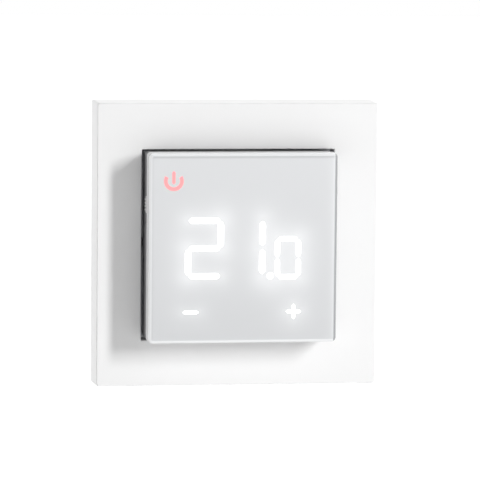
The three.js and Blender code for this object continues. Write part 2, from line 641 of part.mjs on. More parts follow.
function addTerminal(row, index, barFront, innerZ, centreZ) {
  const x = terminalX(row, index);
  const number = index + 1;
  const cageBack = row.cageFront + row.cageLength;
  const halfCage = row.cageWidth / 2;
  const halfDepth = row.cageDepthZ / 2;
  const cage = cut(block(
    x - halfCage, x + halfCage, row.cageFront, cageBack, centreZ - halfDepth, centreZ + halfDepth,
  ), [
    block(
      x - row.window / 2, x + row.window / 2, row.cageFront + row.cageSkin, cageBack - row.cageSkin,
      centreZ - halfDepth - 1, centreZ + halfDepth + 1,
    ),
    rod(row.screwShank + 0.15, row.cageFront - 1, row.cageFront + row.cageSkin + 1, x, centreZ, 16),
  ]);
  add(`${row.name}_cage_${number}`, cage, FINISH.steel);

  const screw = slottedScrew(-4.8, 2.1, row.screwHead, barFront - 0.1, row.screwShank, x, centreZ);
  add(`${row.name}_screw_${number}`, screw, FINISH.steel);

  const barBack = barFront + BAR_DEPTH;
  const bar = block(
    x - row.barHalf, x + row.barHalf, barFront, barBack,
    ...zRange(row, innerZ - 1, TERMINAL_OUTER - row.depthZ / 2 + halfDepth - 0.4),
  );
  const foot = block(
    x - row.barHalf / 2, x + row.barHalf / 2, POWER_BOARD_BACK, barBack,
    ...zRange(row, innerZ - 1, innerZ - 0.3),
  );
  add(`${row.name}_bar_${number}`, bar.add(foot), FINISH.brass);
}

// Power board and the parts on its back face.
function addPowerBoard() {
  const boardSide = HOUSING_SIDE - 2 * HOUSING_WALL - 0.6;
  const board = slab(octagon(boardSide, HOUSING_CHAMFER), POWER_BOARD_FRONT, POWER_BOARD_BACK);
  const mainsCut = block(-30, 30, -2, 4, -30, -(TERMINAL_OUTER - MAINS.depthZ) + RUN_GAP);
  const sensorCut = block(-6.2, 6.2, -2, 4, TERMINAL_OUTER - SENSOR.depthZ - RUN_GAP, 30);
  const bossCuts = [-1, 1].map((sign) => rod(2.9, -2, 4, sign * BOSS_X, BOSS_Z));
  add('power_board', cut(board, [mainsCut, sensorCut, ...bossCuts]), FINISH.board);

  addTransformer();
  addBoardBlock('filter_capacitor', FILTER_CAPACITOR, FINISH.bluePlastic);
  addBoardBlock('fuse', FUSE, FINISH.blackPlastic);
  addVaristor();
  addSmoothingCapacitor();
}

function addBoardBlock(name, { x, z, height }, material) {
  add(name, block(...x, POWER_BOARD_BACK, POWER_BOARD_BACK + height, ...z), material);
}

// Core with its winding showing above and below it, on a wider foot.
function addTransformer() {
  const { x: [left, right], z: [low, high], standoff, height } = TRANSFORMER;
  const back = POWER_BOARD_BACK;
  const core = block(left + 0.5, right - 0.5, back + standoff, back + height, low + 1, high - 1);
  const winding = block(
    left + 2.2, right - 2.2, back + 2 * standoff, back + height - standoff, low - 0.6, high + 0.6,
  );
  const foot = block(left, right, back, back + standoff + 0.2, low, high);
  add('supply_transformer', join([core, winding, foot]), FINISH.yellowPlastic);
}

// Can with a crimp round it near the board.
function addSmoothingCapacitor() {
  const { x, z, radius, height } = SMOOTHING_CAPACITOR;
  const back = POWER_BOARD_BACK;
  add('smoothing_capacitor', turned([
    [0, back], [radius - 0.4, back], [radius, back + 0.4], [radius, back + 1.4],
    [radius - 0.3, back + 1.8], [radius, back + 2.2], [radius, back + height - 0.5],
    [radius - 0.5, back + height], [0, back + height],
  ], x, z, 24), FINISH.blackPlastic);
}

// Round disc standing on its edge, on two legs.
function addVaristor() {
  const { x, z, radius, thickness, legs } = VARISTOR;
  const centreY = POWER_BOARD_BACK + 1.6 + radius;
  const disc = new THREE.CylinderGeometry(radius, radius, thickness, 24);
  disc.rotateX(Math.PI / 2);
  disc.translate(x, centreY, z);
  const pair = [-1, 1].map((sign) => block(
    x + sign * legs - 0.3, x + sign * legs + 0.3, POWER_BOARD_BACK, centreY, z - 0.3, z + 0.3,
  ));
  add('varistor', join([solid(disc), ...pair]), FINISH.bluePlastic);
}

// Heating relay: base, case, coil, yoke, hinged armature and the contact it carries.
function addRelay() {
  const { x: [left, right], z: [low, high], height, wall, coilX, limbX, limbDepth } = RELAY;
  const front = POWER_BOARD_BACK;
  const back = front + height;
  const middle = (low + high) / 2;
  const floor = block(left + 1, right - 1, front, front + 1.6, low + 1, high - 1);
  add('relay_base', floor, FINISH.blackPlastic);
  const shell = block(left, right, front, back, low, high)
    .subtract(block(left + wall, right - wall, front - 1, back - wall, low + wall, high - wall));
  add('relay_case', shell, FINISH.bluePlastic);
  addRelayCoil(front, middle);

  const limbHalf = 3.4;
  const core = rod(RELAY.coreRadius, front + 1.9, front + 11.4, coilX, middle);
  const heel = block(
    coilX - RELAY.coreRadius, limbX, front + 1.8, front + 2.3, middle - limbHalf, middle + limbHalf,
  );
  const limb = block(
    limbX - limbDepth, limbX, front + 1.8, front + 11.2, middle - limbHalf, middle + limbHalf,
  );
  add('relay_yoke', join([core, heel, limb]), FINISH.steel);

  const beamHalf = 3.2;
  const hingeX = limbX + 0.2;
  const beam = block(
    coilX - 4.4, hingeX, front + 12.1, front + 12.9, middle - beamHalf, middle + beamHalf,
  );
  const leg = block(hingeX, hingeX + 0.9, front + 7, front + 12.9, middle - beamHalf, middle + beamHalf);
  add('relay_armature', beam.add(leg), FINISH.steel);
  addRelayContacts(front, middle);
}

// Bobbin flanges with the winding between them.
function addRelayCoil(front, middle) {
  const { coilX, flangeRadius, windingRadius } = RELAY;
  const bore = RELAY.coreRadius + 0.1;
  add('relay_coil', turned([
    [bore, front + 2.4], [flangeRadius, front + 2.4], [flangeRadius, front + 3.2],
    [windingRadius, front + 3.2], [windingRadius, front + 10.2], [flangeRadius, front + 10.2],
    [flangeRadius, front + 11], [bore, front + 11], [bore, front + 2.4],
  ], coilX, middle), FINISH.copper);
}

// Blade with its tip on the armature, and the fixed tip on its post.
function addRelayContacts(front, middle) {
  const { bladeX, postX } = RELAY;
  const blade = block(bladeX, bladeX + 0.4, front + 2.4, front + 11.5, middle - 2, middle + 2);
  const tip = block(bladeX + 0.3, bladeX + 1.2, front + 3, front + 4.6, middle - 1, middle + 1);
  add('relay_moving_contact', blade.add(tip), FINISH.copper);
  const post = block(postX, postX + 0.6, front + 1.7, front + 7, middle - 2, middle + 2);
  const fixedTip = block(postX - 1.85, postX + 0.1, front + 3, front + 4.6, middle - 1, middle + 1);
  add('relay_fixed_contact', post.add(fixedTip), FINISH.copper);
}

addCoverFrame();
addGlass();
addBezel();
addDisplay();
addSideSwitch();
addHeaders();
addFrontHousing();
addMountingPlate();
addBaseCover();
addRearHousing();
addPowerBoard();
addTerminalRow(MAINS);
addTerminalRow(SENSOR);
addRelay();

export default thermostat;
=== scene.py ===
"""Wall thermostat: a square cover frame, a glass-fronted touch module and a flush-box base.

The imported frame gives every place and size, and this file gives each piece its finished shape
and its finish. X points right as seen from the room, Z up, and the front faces -Y. Sizes in the
classes are millimetres, unless a name says otherwise, and finished meshes are in metres.
"""

import logging
import math
from dataclasses import dataclass
from enum import Enum
from functools import lru_cache
from typing import Iterable, Optional, Sequence, Union

import bmesh
import bpy
from mathutils import Matrix, Vector


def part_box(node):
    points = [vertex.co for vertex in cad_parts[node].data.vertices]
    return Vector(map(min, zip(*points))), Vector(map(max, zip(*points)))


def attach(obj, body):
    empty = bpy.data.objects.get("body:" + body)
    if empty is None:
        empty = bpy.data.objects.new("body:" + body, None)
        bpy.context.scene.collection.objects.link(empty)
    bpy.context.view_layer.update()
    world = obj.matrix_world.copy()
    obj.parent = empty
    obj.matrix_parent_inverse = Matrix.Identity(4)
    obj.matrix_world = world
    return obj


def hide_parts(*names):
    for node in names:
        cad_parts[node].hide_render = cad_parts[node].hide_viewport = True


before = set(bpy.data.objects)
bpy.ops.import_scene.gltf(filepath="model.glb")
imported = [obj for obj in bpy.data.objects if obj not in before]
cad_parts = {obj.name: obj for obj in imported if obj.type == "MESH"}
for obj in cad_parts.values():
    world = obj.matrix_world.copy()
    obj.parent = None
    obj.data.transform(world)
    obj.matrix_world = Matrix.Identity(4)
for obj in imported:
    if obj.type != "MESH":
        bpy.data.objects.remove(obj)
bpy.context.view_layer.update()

MM = 0.001
Point = tuple[float, float, float]
Flat = tuple[float, float]
Colour = tuple[float, float, float]
Parts = list[Union[bmesh.types.BMVert, bmesh.types.BMEdge]]

log = logging.getLogger("wall_thermostat")


class Body(Enum):
    """The moving bodies that pieces ride on."""

    BASE = "base"
    FRAME = "frame"
    MODULE = "front_module"
    SLIDER = "switch_slider"
    ARMATURE = "armature"


class Slot(Enum):
    """The material slots of the part's record."""

    FRAME_WHITE = "frame_white"
    CAP_WHITE = "cap_white"
    GLASS = "glass"
    ADHESIVE = "adhesive"
    GREY = "body_grey"
    LIGHT = "light_plastic"
    BOARD = "circuit_board"
    BLACK = "black_plastic"
    BLUE = "blue_plastic"
    YELLOW = "yellow_tape"
    STEEL = "steel"
    BRASS = "brass"
    COPPER = "copper"


class Axis(Enum):
    """The direction that a shape or a brushed finish runs in."""

    X = (1.0, 0.0, 0.0)
    Y = (0.0, 1.0, 0.0)
    Z = (0.0, 0.0, 1.0)


# Finishes.


class Shader:
    """A material's node tree, with short ways to add nodes to it."""

    def __init__(self, name: str) -> None:
        """Starts a material.

        Args:
            name: The material's name.
        """
        self.material = bpy.data.materials.new(name)
        self.material.use_nodes = True
        self.tree = self.material.node_tree
        self.surface = self.tree.nodes["Principled BSDF"]
        self.place = self.tree.nodes.new("ShaderNodeTexCoord").outputs["Object"]

    def set(self, **values: object) -> None:
        """Sets sockets of the surface, given by name with _ for each space."""
        for name, value in values.items():
            self.surface.inputs[name.replace("_", " ")].default_value = value

    def join(self, source: bpy.types.NodeSocket, target: str) -> None:
        """Feeds a socket of the surface."""
        self.tree.links.new(source, self.surface.inputs[target])

    def stretched(self, scale: Point) -> bpy.types.NodeSocket:
        """Gives the object coordinates scaled by axis.

        Args:
            scale: The factor for each axis.

        Returns:
            The scaled coordinates.
        """
        mapping = self.tree.nodes.new("ShaderNodeMapping")
        mapping.inputs["Scale"].default_value = scale
        self.tree.links.new(self.place, mapping.inputs["Vector"])
        return mapping.outputs["Vector"]

    def noise(
        self, size: float, detail: float = 2.0, stretch: Optional[Point] = None
    ) -> bpy.types.NodeSocket:
        """Adds a noise.

        Args:
            size: The grain size in metres.
            detail: How many finer layers it has.
            stretch: A factor for each axis, or None for an even grain.

        Returns:
            The noise value, from 0 to 1.
        """
        noise = self.tree.nodes.new("ShaderNodeTexNoise")
        noise.inputs["Scale"].default_value = 1.0 / size
        noise.inputs["Detail"].default_value = detail
        source = self.stretched(stretch) if stretch else self.place
        self.tree.links.new(source, noise.inputs["Vector"])
        return noise.outputs["Fac"]

    def cells(self, size: float, distance: str) -> bpy.types.NodeSocket:
        """Adds cells round scattered centres.

        Args:
            size: The cell size in metres.
            distance: The way that distance is measured.

        Returns:
            The distance from the nearest centre.
        """
        cells = self.tree.nodes.new("ShaderNodeTexVoronoi")
        cells.distance = distance
        cells.inputs["Scale"].default_value = 1.0 / size
        cells.inputs["Randomness"].default_value = 0.8
        self.tree.links.new(self.place, cells.inputs["Vector"])
        return cells.outputs["Distance"]

    def attribute(self, name: str) -> bpy.types.NodeSocket:
        """Reads a number that the mesh carries at each point."""
        node = self.tree.nodes.new("ShaderNodeAttribute")
        node.attribute_name = name
        return node.outputs["Fac"]

    def ramp(
        self, source: bpy.types.NodeSocket, spread: Flat, low: float, high: float
    ) -> bpy.types.NodeSocket:
        """Maps a value to a new range.

        Args:
            source: The value.
            spread: The part of the value's range that is used.
            low: The result at the start of it.
            high: The result at its end.

        Returns:
            The mapped value.
        """
        ramp = self.tree.nodes.new("ShaderNodeMapRange")
        ramp.inputs["From Min"].default_value = spread[0]
        ramp.inputs["From Max"].default_value = spread[1]
        ramp.inputs["To Min"].default_value = low
        ramp.inputs["To Max"].default_value = high
        self.tree.links.new(source, ramp.inputs["Value"])
        return ramp.outputs["Result"]

    def stripes(self, source: bpy.types.NodeSocket, count: float, share: float) -> bpy.types.NodeSocket:
        """Turns a value into stripes.

        Args:
            source: The value.
            count: How many stripes lie in a step of 1.
            share: The dark share of each stripe.

        Returns:
            1 on a stripe and 0 between stripes.
        """
        times = self.tree.nodes.new("ShaderNodeMath")
        times.operation = "MULTIPLY"
        times.inputs[1].default_value = count
        part = self.tree.nodes.new("ShaderNodeMath")
        part.operation = "FRACT"
        over = self.tree.nodes.new("ShaderNodeMath")
        over.operation = "GREATER_THAN"
        over.inputs[1].default_value = share
        self.tree.links.new(source, times.inputs[0])
        self.tree.links.new(times.outputs[0], part.inputs[0])
        self.tree.links.new(part.outputs[0], over.inputs[0])
        return over.outputs[0]

    def tint(
        self, factor: bpy.types.NodeSocket, first: Colour, second: Colour
    ) -> bpy.types.NodeSocket:
        """Mixes two colours.

        Args:
            factor: 0 for the first colour and 1 for the second.
            first: The first colour.
            second: The second colour.

        Returns:
            The mixed colour.
        """
        mix = self.tree.nodes.new("ShaderNodeMix")
        mix.data_type = "RGBA"
        mix.inputs["A"].default_value = (*first, 1.0)
        mix.inputs["B"].default_value = (*second, 1.0)
        self.tree.links.new(factor, mix.inputs["Factor"])
        return mix.outputs["Result"]

    def relief(self, height: bpy.types.NodeSocket, depth: float, strength: float) -> None:
        """Raises the surface by a height.

        Args:
            height: The height, from 0 to 1.
            depth: The depth in metres at a height of 1.
            strength: How much of it shows.
        """
        bump = self.tree.nodes.new("ShaderNodeBump")
        bump.inputs["Distance"].default_value = depth
        bump.inputs["Strength"].default_value = strength
        self.tree.links.new(height, bump.inputs["Height"])
        self.join(bump.outputs["Normal"], "Normal")


def shade(colour: Colour, factor: float) -> Colour:
    """Makes a colour lighter or darker.

    Args:
        colour: The colour.
        factor: What it is multiplied by.

    Returns:
        The new colour, with each part at most 1.
    """
    return tuple(min(1.0, part * factor) for part in colour)


@dataclass(frozen=True)
class Plastic:
    """Moulded plastic: faintly cloudy, with a fine eroded grain."""

    name: str
    colour: Colour
    roughness: float = 0.42
    cloud: float = 0.02
    grain: float = 0.12
    gloss: float = 0.0

    def material(self) -> bpy.types.Material:
        """Builds the material."""
        shader = Shader(self.name)
        cloud = shader.noise(0.012, 3.0)
        colours = shade(self.colour, 1.0 - self.cloud), shade(self.colour, 1.0 + self.cloud)
        shader.join(shader.tint(cloud, *colours), "Base Color")
        worn = shader.ramp(shader.noise(0.004, 3.0), (0.3, 0.7), self.roughness - 0.04, self.roughness + 0.04)
        shader.join(worn, "Roughness")
        shader.set(IOR=1.5, Coat_Weight=self.gloss, Coat_Roughness=0.06)
        shader.relief(shader.noise(0.00035, 2.0), 0.00002, self.grain)
        return shader.material


@dataclass(frozen=True)
class Metal:
    """Metal with fine marks along one axis and a patchy lustre."""

    name: str
    colour: Colour
    roughness: float = 0.3
    along: Axis = Axis.Z
    patches: float = 0.12

    def material(self) -> bpy.types.Material:
        """Builds the material."""
        shader = Shader(self.name)
        patches = shader.noise(0.006, 4.0)
        colours = shade(self.colour, 1.0 - self.patches), shade(self.colour, 1.0 + self.patches)
        shader.join(shader.tint(patches, *colours), "Base Color")
        stretch = tuple(0.04 if part else 1.0 for part in self.along.value)
        marks = shader.noise(0.00025, 3.0, stretch)
        shader.join(shader.ramp(marks, (0.2, 0.8), self.roughness - 0.08, self.roughness + 0.12), "Roughness")
        shader.set(Metallic=1.0)
        shader.relief(marks, 0.00001, 0.35)
        return shader.material


@dataclass(frozen=True)
class SolderMask:
    """Lacquered circuit board, with its tracks showing through the lacquer."""

    name: str
    colour: Colour
    track: Colour

    def material(self) -> bpy.types.Material:
        """Builds the material."""
        shader = Shader(self.name)
        tracks = shader.stripes(shader.cells(0.009, "CHEBYCHEV"), 5.0, 0.62)
        shader.join(shader.tint(tracks, self.colour, self.track), "Base Color")
        shader.set(Roughness=0.34, IOR=1.5, Coat_Weight=0.5, Coat_Roughness=0.1)
        shader.relief(tracks, 0.00003, 0.6)
        return shader.material


@dataclass(frozen=True)
class PrintedGlass:
    """Clear glass over a pale back print. The mesh's glow holds the backlight round the lit marks plus
    painted highlights on the bevels, along the right edge and towards the top; its edge value mixes in a dark
    colour as painted shade on the right and top bevels.
    """

    name: str
    print_colour: Colour
    shaded_edge_colour: Colour
    glow: float

    def material(self) -> bpy.types.Material:
        """Builds the material."""
        shader = Shader(self.name)
        # Painted shade: the edge value darkens the right and top bevels towards the dark edge colour.
        shader.join(shader.tint(shader.attribute("edge"), self.print_colour, self.shaded_edge_colour), "Base Color")
        shader.join(shader.ramp(shader.noise(0.02, 2.0), (0.3, 0.7), 0.3, 0.36), "Roughness")
        # The glow lights the backlight round the marks and also the painted highlights and the painted sheen.
        shader.join(shader.ramp(shader.attribute("glow"), (0.0, 1.0), 0.0, self.glow), "Emission Strength")
        shader.set(IOR=1.5, Coat_Weight=1.0, Coat_Roughness=0.02, Emission_Color=(1.0, 1.0, 1.0, 1.0))
        return shader.material


@dataclass(frozen=True)
class Lit:
    """A lit mark, slightly uneven as light through a moulded well is."""

    name: str
    colour: Colour
    strength: float

    def material(self) -> bpy.types.Material:
        """Builds the material."""
        shader = Shader(self.name)
        shader.set(Base_Color=(*shade(self.colour, 0.9), 1.0), Emission_Color=(*self.colour, 1.0))
        uneven = shader.ramp(shader.noise(0.003, 1.0), (0.3, 0.7), self.strength * 0.94, self.strength)
        shader.join(uneven, "Emission Strength")
        return shader.material


Finish = Union[Plastic, Metal, SolderMask, PrintedGlass, Lit]

FRAME_WHITE = Plastic("frame_white", (0.9, 0.9, 0.9), roughness=0.38, cloud=0.004, grain=0.1)
CAP_WHITE = Plastic("cap_white", (0.84, 0.84, 0.84), roughness=0.4, cloud=0.005)
BODY_GREY = Plastic("body_grey", (0.3, 0.3, 0.31), roughness=0.5, cloud=0.02, grain=0.2)
MILKY = Plastic("milky", (0.86, 0.86, 0.84), roughness=0.5, cloud=0.01)
FOAM = Plastic("foam_tape", (0.05, 0.05, 0.055), roughness=0.85, cloud=0.05, grain=0.5)
BLACK = Plastic("black_moulding", (0.018, 0.018, 0.02), roughness=0.5, cloud=0.08, grain=0.25)
BLUE = Plastic("blue_coating", (0.03, 0.12, 0.38), roughness=0.3, cloud=0.06, gloss=0.6)
TAPE = Plastic("yellow_tape", (0.72, 0.45, 0.05), roughness=0.3, cloud=0.05, gloss=0.4)
FERRITE = Plastic("ferrite", (0.05, 0.05, 0.055), roughness=0.6, cloud=0.15, grain=0.6)
CERAMIC = Plastic("ceramic", (0.55, 0.5, 0.42), roughness=0.45, cloud=0.08)
BEAD = Plastic("sensor_bead", (0.06, 0.05, 0.045), roughness=0.25, gloss=1.0)
ZINC = Metal("zinc_plate", (0.62, 0.63, 0.65), roughness=0.3)
SCREW = Metal("screw_zinc", (0.66, 0.66, 0.68), roughness=0.26, patches=0.06)
SPRING = Metal("spring_steel", (0.7, 0.7, 0.72), roughness=0.2)
BRASS = Metal("brass", (0.78, 0.56, 0.24), roughness=0.26)
COPPER = Metal("copper", (0.72, 0.33, 0.16), roughness=0.3)
SOLDER = Metal("solder", (0.7, 0.71, 0.72), roughness=0.22)
ALUMINIUM = Metal("aluminium", (0.75, 0.76, 0.77), roughness=0.3)
MASK = SolderMask("solder_mask", (0.012, 0.1, 0.045), (0.03, 0.19, 0.085))
# The dark second colour is painted shade for the right and top bevels, and the glow scale also lights painted
# highlights.
GLASS = PrintedGlass("printed_glass", (0.645, 0.655, 0.668), (0.3, 0.31, 0.32), 0.42)
WHITE_LIGHT = Lit("white_light", (1.0, 1.0, 1.0), 1.1)
RED_LIGHT = Lit("red_light", (1.0, 0.32, 0.33), 0.44)


@lru_cache(maxsize=None)
def dressed(finish: Finish) -> bpy.types.Material:
    """Gives the one material of a finish."""
    return finish.material()


# Modelling.


class Sketch:
    """A shape being modelled, in millimetres."""

    def __init__(self) -> None:
        """Starts an empty shape."""
        self.mesh = bmesh.new()
        self.turned_right = True

    @classmethod
    def of(cls, node: str) -> "Sketch":
        """Starts from a merged copy of a CAD node.

        Args:
            node: The node's name.

        Returns:
            The sketch, with flat stretches as single faces.
        """
        sketch = cls()
        sketch.turned_right = False
        sketch.mesh.from_mesh(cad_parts[node].data)
        bmesh.ops.scale(sketch.mesh, vec=(1 / MM,) * 3, verts=sketch.mesh.verts)
        bmesh.ops.remove_doubles(sketch.mesh, verts=sketch.mesh.verts, dist=0.0005)
        bmesh.ops.dissolve_limit(
            sketch.mesh, angle_limit=math.radians(0.5), verts=sketch.mesh.verts, edges=sketch.mesh.edges
        )
        return sketch

    def since(self, before: set[bmesh.types.BMVert]) -> list[bmesh.types.BMVert]:
        """Gives the vertices that weren't there when a set of them was taken."""
        return [vert for vert in self.mesh.verts if vert not in before]

    def line(self, places: Iterable[Point], closed: bool) -> Parts:
        """Adds a line to be spun.

        Args:
            places: The points that it runs through.
            closed: Whether the last point joins the first.

        Returns:
            Its vertices and edges.
        """
        verts = [self.mesh.verts.new(place) for place in places]
        pairs = list(zip(verts, verts[1:])) + ([(verts[-1], verts[0])] if closed else [])
        return verts + [self.mesh.edges.new(pair) for pair in pairs]

    def block(self, low: Point, high: Point) -> list[bmesh.types.BMVert]:
        """Adds a block.

        Args:
            low: Its lowest corner.
            high: Its highest corner.

        Returns:
            Its vertices.
        """
        made = bmesh.ops.create_cube(self.mesh, size=1.0)["verts"]
        bmesh.ops.scale(self.mesh, vec=Vector(high) - Vector(low), verts=made)
        bmesh.ops.translate(self.mesh, vec=(Vector(high) + Vector(low)) / 2, verts=made)
        return made

    def turn(
        self, profile: Sequence[Flat], centre: Point, axis: Axis = Axis.Y, sides: int = 32
    ) -> list[bmesh.types.BMVert]:
        """Adds a turned shape.

        Args:
            profile: Its (radius, height) points, where height runs along the axis.
            centre: The point that heights are counted from.
            axis: The axis that it is turned about.
            sides: How many sides it gets.

        Returns:
            Its vertices.
        """
        before = set(self.mesh.verts)
        across = Vector(Axis.Z.value if axis is Axis.X else Axis.X.value)
        along = Vector(axis.value)
        line = self.line((Vector(centre) + across * r + along * h for r, h in profile), False)
        bmesh.ops.spin(
            self.mesh, geom=line, cent=centre, axis=along, angle=math.tau, steps=sides, use_merge=True
        )
        bmesh.ops.remove_doubles(self.mesh, verts=self.since(before), dist=0.001)
        return self.since(before)

    def rod(
        self, radius: float, start: float, end: float, centre: Point, axis: Axis = Axis.Y, sides: int = 10
    ) -> None:
        """Adds a plain round rod.

        Args:
            radius: Its radius.
            start: Where it starts on its axis.
            end: Where it ends.
            centre: The point that start and end are counted from.
            axis: The axis that it runs along.
            sides: How many sides it gets.
        """
        self.turn([(0.0, start), (radius, start), (radius, end), (0.0, end)], centre, axis, sides)

    def prism(self, outline: Sequence[Flat], front: float, back: float) -> list[bmesh.types.BMVert]:
        """Adds a flat shape with a thickness.

        Args:
            outline: Its (x, z) corners.
            front: The y of its front.
            back: The y of its back.

        Returns:
            Its vertices.
        """
        verts = [self.mesh.verts.new((x, front, z)) for x, z in outline]
        face = self.mesh.faces.new(verts)
        grown = bmesh.ops.extrude_face_region(self.mesh, geom=[face])["geom"]
        moved = [part for part in grown if isinstance(part, bmesh.types.BMVert)]
        bmesh.ops.translate(self.mesh, vec=(0.0, back - front, 0.0), verts=moved)
        return verts + moved

    def ring(self, profile: Sequence[Flat]) -> None:
        """Adds a square ring with mitred corners.

        Args:
            profile: The (half side, y) points of its section.
        """
        line = self.line(((half, y, half) for half, y in profile), True)
        bmesh.ops.spin(
            self.mesh, geom=line, cent=(0, 0, 0), axis=Axis.Y.value, angle=math.tau, steps=4, use_merge=True
        )

    def coil(self, section: Sequence[Flat], centre: Point, pitch: float, turns: float, steps: int) -> None:
        """Adds a section swept along a helix about Y.

        Args:
            section: Its (radius, y) points.
            centre: A point on the helix's axis, from which heights are counted.
            pitch: The rise of one turn.
            turns: How many turns it has.
            steps: How many steps a turn has.
        """
        before = set(self.mesh.verts)
        line = self.line((Vector(centre) + Vector((r, h, 0.0)) for r, h in section), True)
        bmesh.ops.spin(
            self.mesh, geom=line, cent=centre, axis=Axis.Y.value,
            dvec=(0.0, pitch / steps, 0.0), angle=math.tau * turns, steps=round(steps * turns),
        )
        bmesh.ops.remove_doubles(self.mesh, verts=self.since(before), dist=0.002)
        rims = {edge for vert in self.since(before) for edge in vert.link_edges if edge.is_boundary}
        bmesh.ops.holes_fill(self.mesh, edges=list(rims), sides=0)

    def soften(
        self,
        width: float,
        segments: int = 2,
        verts: Optional[Iterable[bmesh.types.BMVert]] = None,
        sharper: float = 30.0,
    ) -> None:
        """Rounds the sharp edges.

        Args:
            width: The width that is rounded.
            segments: The steps of the rounding.
            verts: The vertices whose edges are looked at, or None for all.
            sharper: The least angle of a sharp edge, in degrees.
        """
        chosen = set(self.mesh.verts if verts is None else verts)
        limit = math.radians(sharper)
        edges = [
            edge
            for edge in self.mesh.edges
            if edge.is_manifold and edge.calc_face_angle(0.0) > limit and chosen.issuperset(edge.verts)
        ]
        self.bevel(edges, width, segments)

    def bevel(
        self, edges: Sequence[bmesh.types.BMEdge], width: float, segments: int, clamp: bool = True
    ) -> None:
        """Rounds edges.

        Args:
            edges: The edges.
            width: The width that is rounded.
            segments: The steps of the rounding.
            clamp: Whether the width gives way where roundings would cross.
        """
        bmesh.ops.bevel(
            self.mesh, geom=edges, offset=width, offset_type="OFFSET", segments=segments,
            profile=0.5, affect="EDGES", material=-1, clamp_overlap=clamp,
        )

    def carve(self, cutter: "Sketch") -> None:
        """Takes another shape away from this one."""
        self.true_up()
        cutter.true_up()
        body, tool = (bpy.data.objects.new(name, bpy.data.meshes.new(name)) for name in ("body", "tool"))
        for obj, sketch in ((body, self), (tool, cutter)):
            sketch.mesh.to_mesh(obj.data)
            bpy.context.scene.collection.objects.link(obj)
        cut = body.modifiers.new("cut", "BOOLEAN")
        cut.operation = "DIFFERENCE"
        cut.solver = "EXACT"
        cut.object = tool
        bpy.context.view_layer.update()
        result = body.evaluated_get(bpy.context.evaluated_depsgraph_get())
        self.mesh.clear()
        self.mesh.from_mesh(result.to_mesh())
        result.to_mesh_clear()
        for obj in (body, tool):
            mesh = obj.data
            bpy.data.objects.remove(obj)
            bpy.data.meshes.remove(mesh)
        cutter.mesh.free()

    def true_up(self) -> None:
        """Turns every face of a newly modelled shape outwards."""
        if self.turned_right:
            bmesh.ops.recalc_face_normals(self.mesh, faces=self.mesh.faces)

    def cast(
        self,
        name: str,
        body: Union[Body, str],
        slot: Slot,
        finish: Finish,
        replaces: Sequence[str] = (),
        smooth: float = 32.0,
    ) -> bpy.types.Object:
        """Makes the finished piece.

        Args:
            name: The piece's name.
            body: The body that it rides on.
            slot: Not used; the piece gets only its finish's material.
            finish: Its finish.
            replaces: The CAD nodes that it stands for.
            smooth: The edge angle, in degrees, up to which shading runs smoothly.

        Returns:
            The piece's object.
        """
        self.true_up()
        bmesh.ops.scale(self.mesh, vec=(MM,) * 3, verts=self.mesh.verts)
        mesh = bpy.data.meshes.new(name)
        self.mesh.to_mesh(mesh)
        self.mesh.free()
        mesh.shade_smooth()
        mesh.set_sharp_from_angle(angle=math.radians(smooth))
        mesh.materials.clear()
        mesh.materials.append(dressed(finish))
        piece = bpy.data.objects.new(name, mesh)
        bpy.context.scene.collection.objects.link(piece)
        piece.modifiers.new("even_shading", "WEIGHTED_NORMAL").keep_sharp = True
        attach(piece, body.value if isinstance(body, Body) else body)
        if replaces:
            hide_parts(*replaces)
        log.info("%s: %d faces", name, len(mesh.polygons))
        return piece


def span(node: str) -> tuple[Vector, Vector]:
    """Gives a CAD node's box in millimetres.

    Args:
        node: The node's name.

    Returns:
        Its lowest and highest corner.
    """
    low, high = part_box(node)
    return low / MM, high / MM


def middle(node: str) -> Vector:
    """Gives the middle of a CAD node's box in millimetres."""
    low, high = span(node)
    return (low + high) / 2


def axle(node: str) -> Vector:
    """Gives the point at y = 0 on the line along Y through a CAD node's middle."""
    centre = middle(node)
    return Vector((centre.x, 0.0, centre.z))


def wire_section(radius: float, wire: float) -> list[Flat]:
    """Gives a round wire's section.

    Args:
        radius: How far its middle lies from the coil's axis.
        wire: The wire's radius.

    Returns:
        Its (radius, y) points.
    """
    steps = [math.tau * step / 10 for step in range(10)]
    return [(radius + wire * math.cos(angle), wire * math.sin(angle)) for angle in steps]


def refine(
    node: str, body: Union[Body, str], slot: Slot, finish: Finish, edge: float = 0.12, segments: int = 2
) -> bpy.types.Object:
    """Makes a finished piece from a CAD node by rounding its edges.

    Args:
        node: The node's name.
        body: The body that it rides on.
        slot: Its material slot.
        finish: Its finish.
        edge: The width that its edges are rounded by.
        segments: The steps of the rounding.

    Returns:
        The piece's object.
    """
    sketch = Sketch.of(node)
    sketch.soften(edge, segments)
    return sketch.cast(f"{node}_piece", body, slot, finish, [node])


# Front of the thermostat.


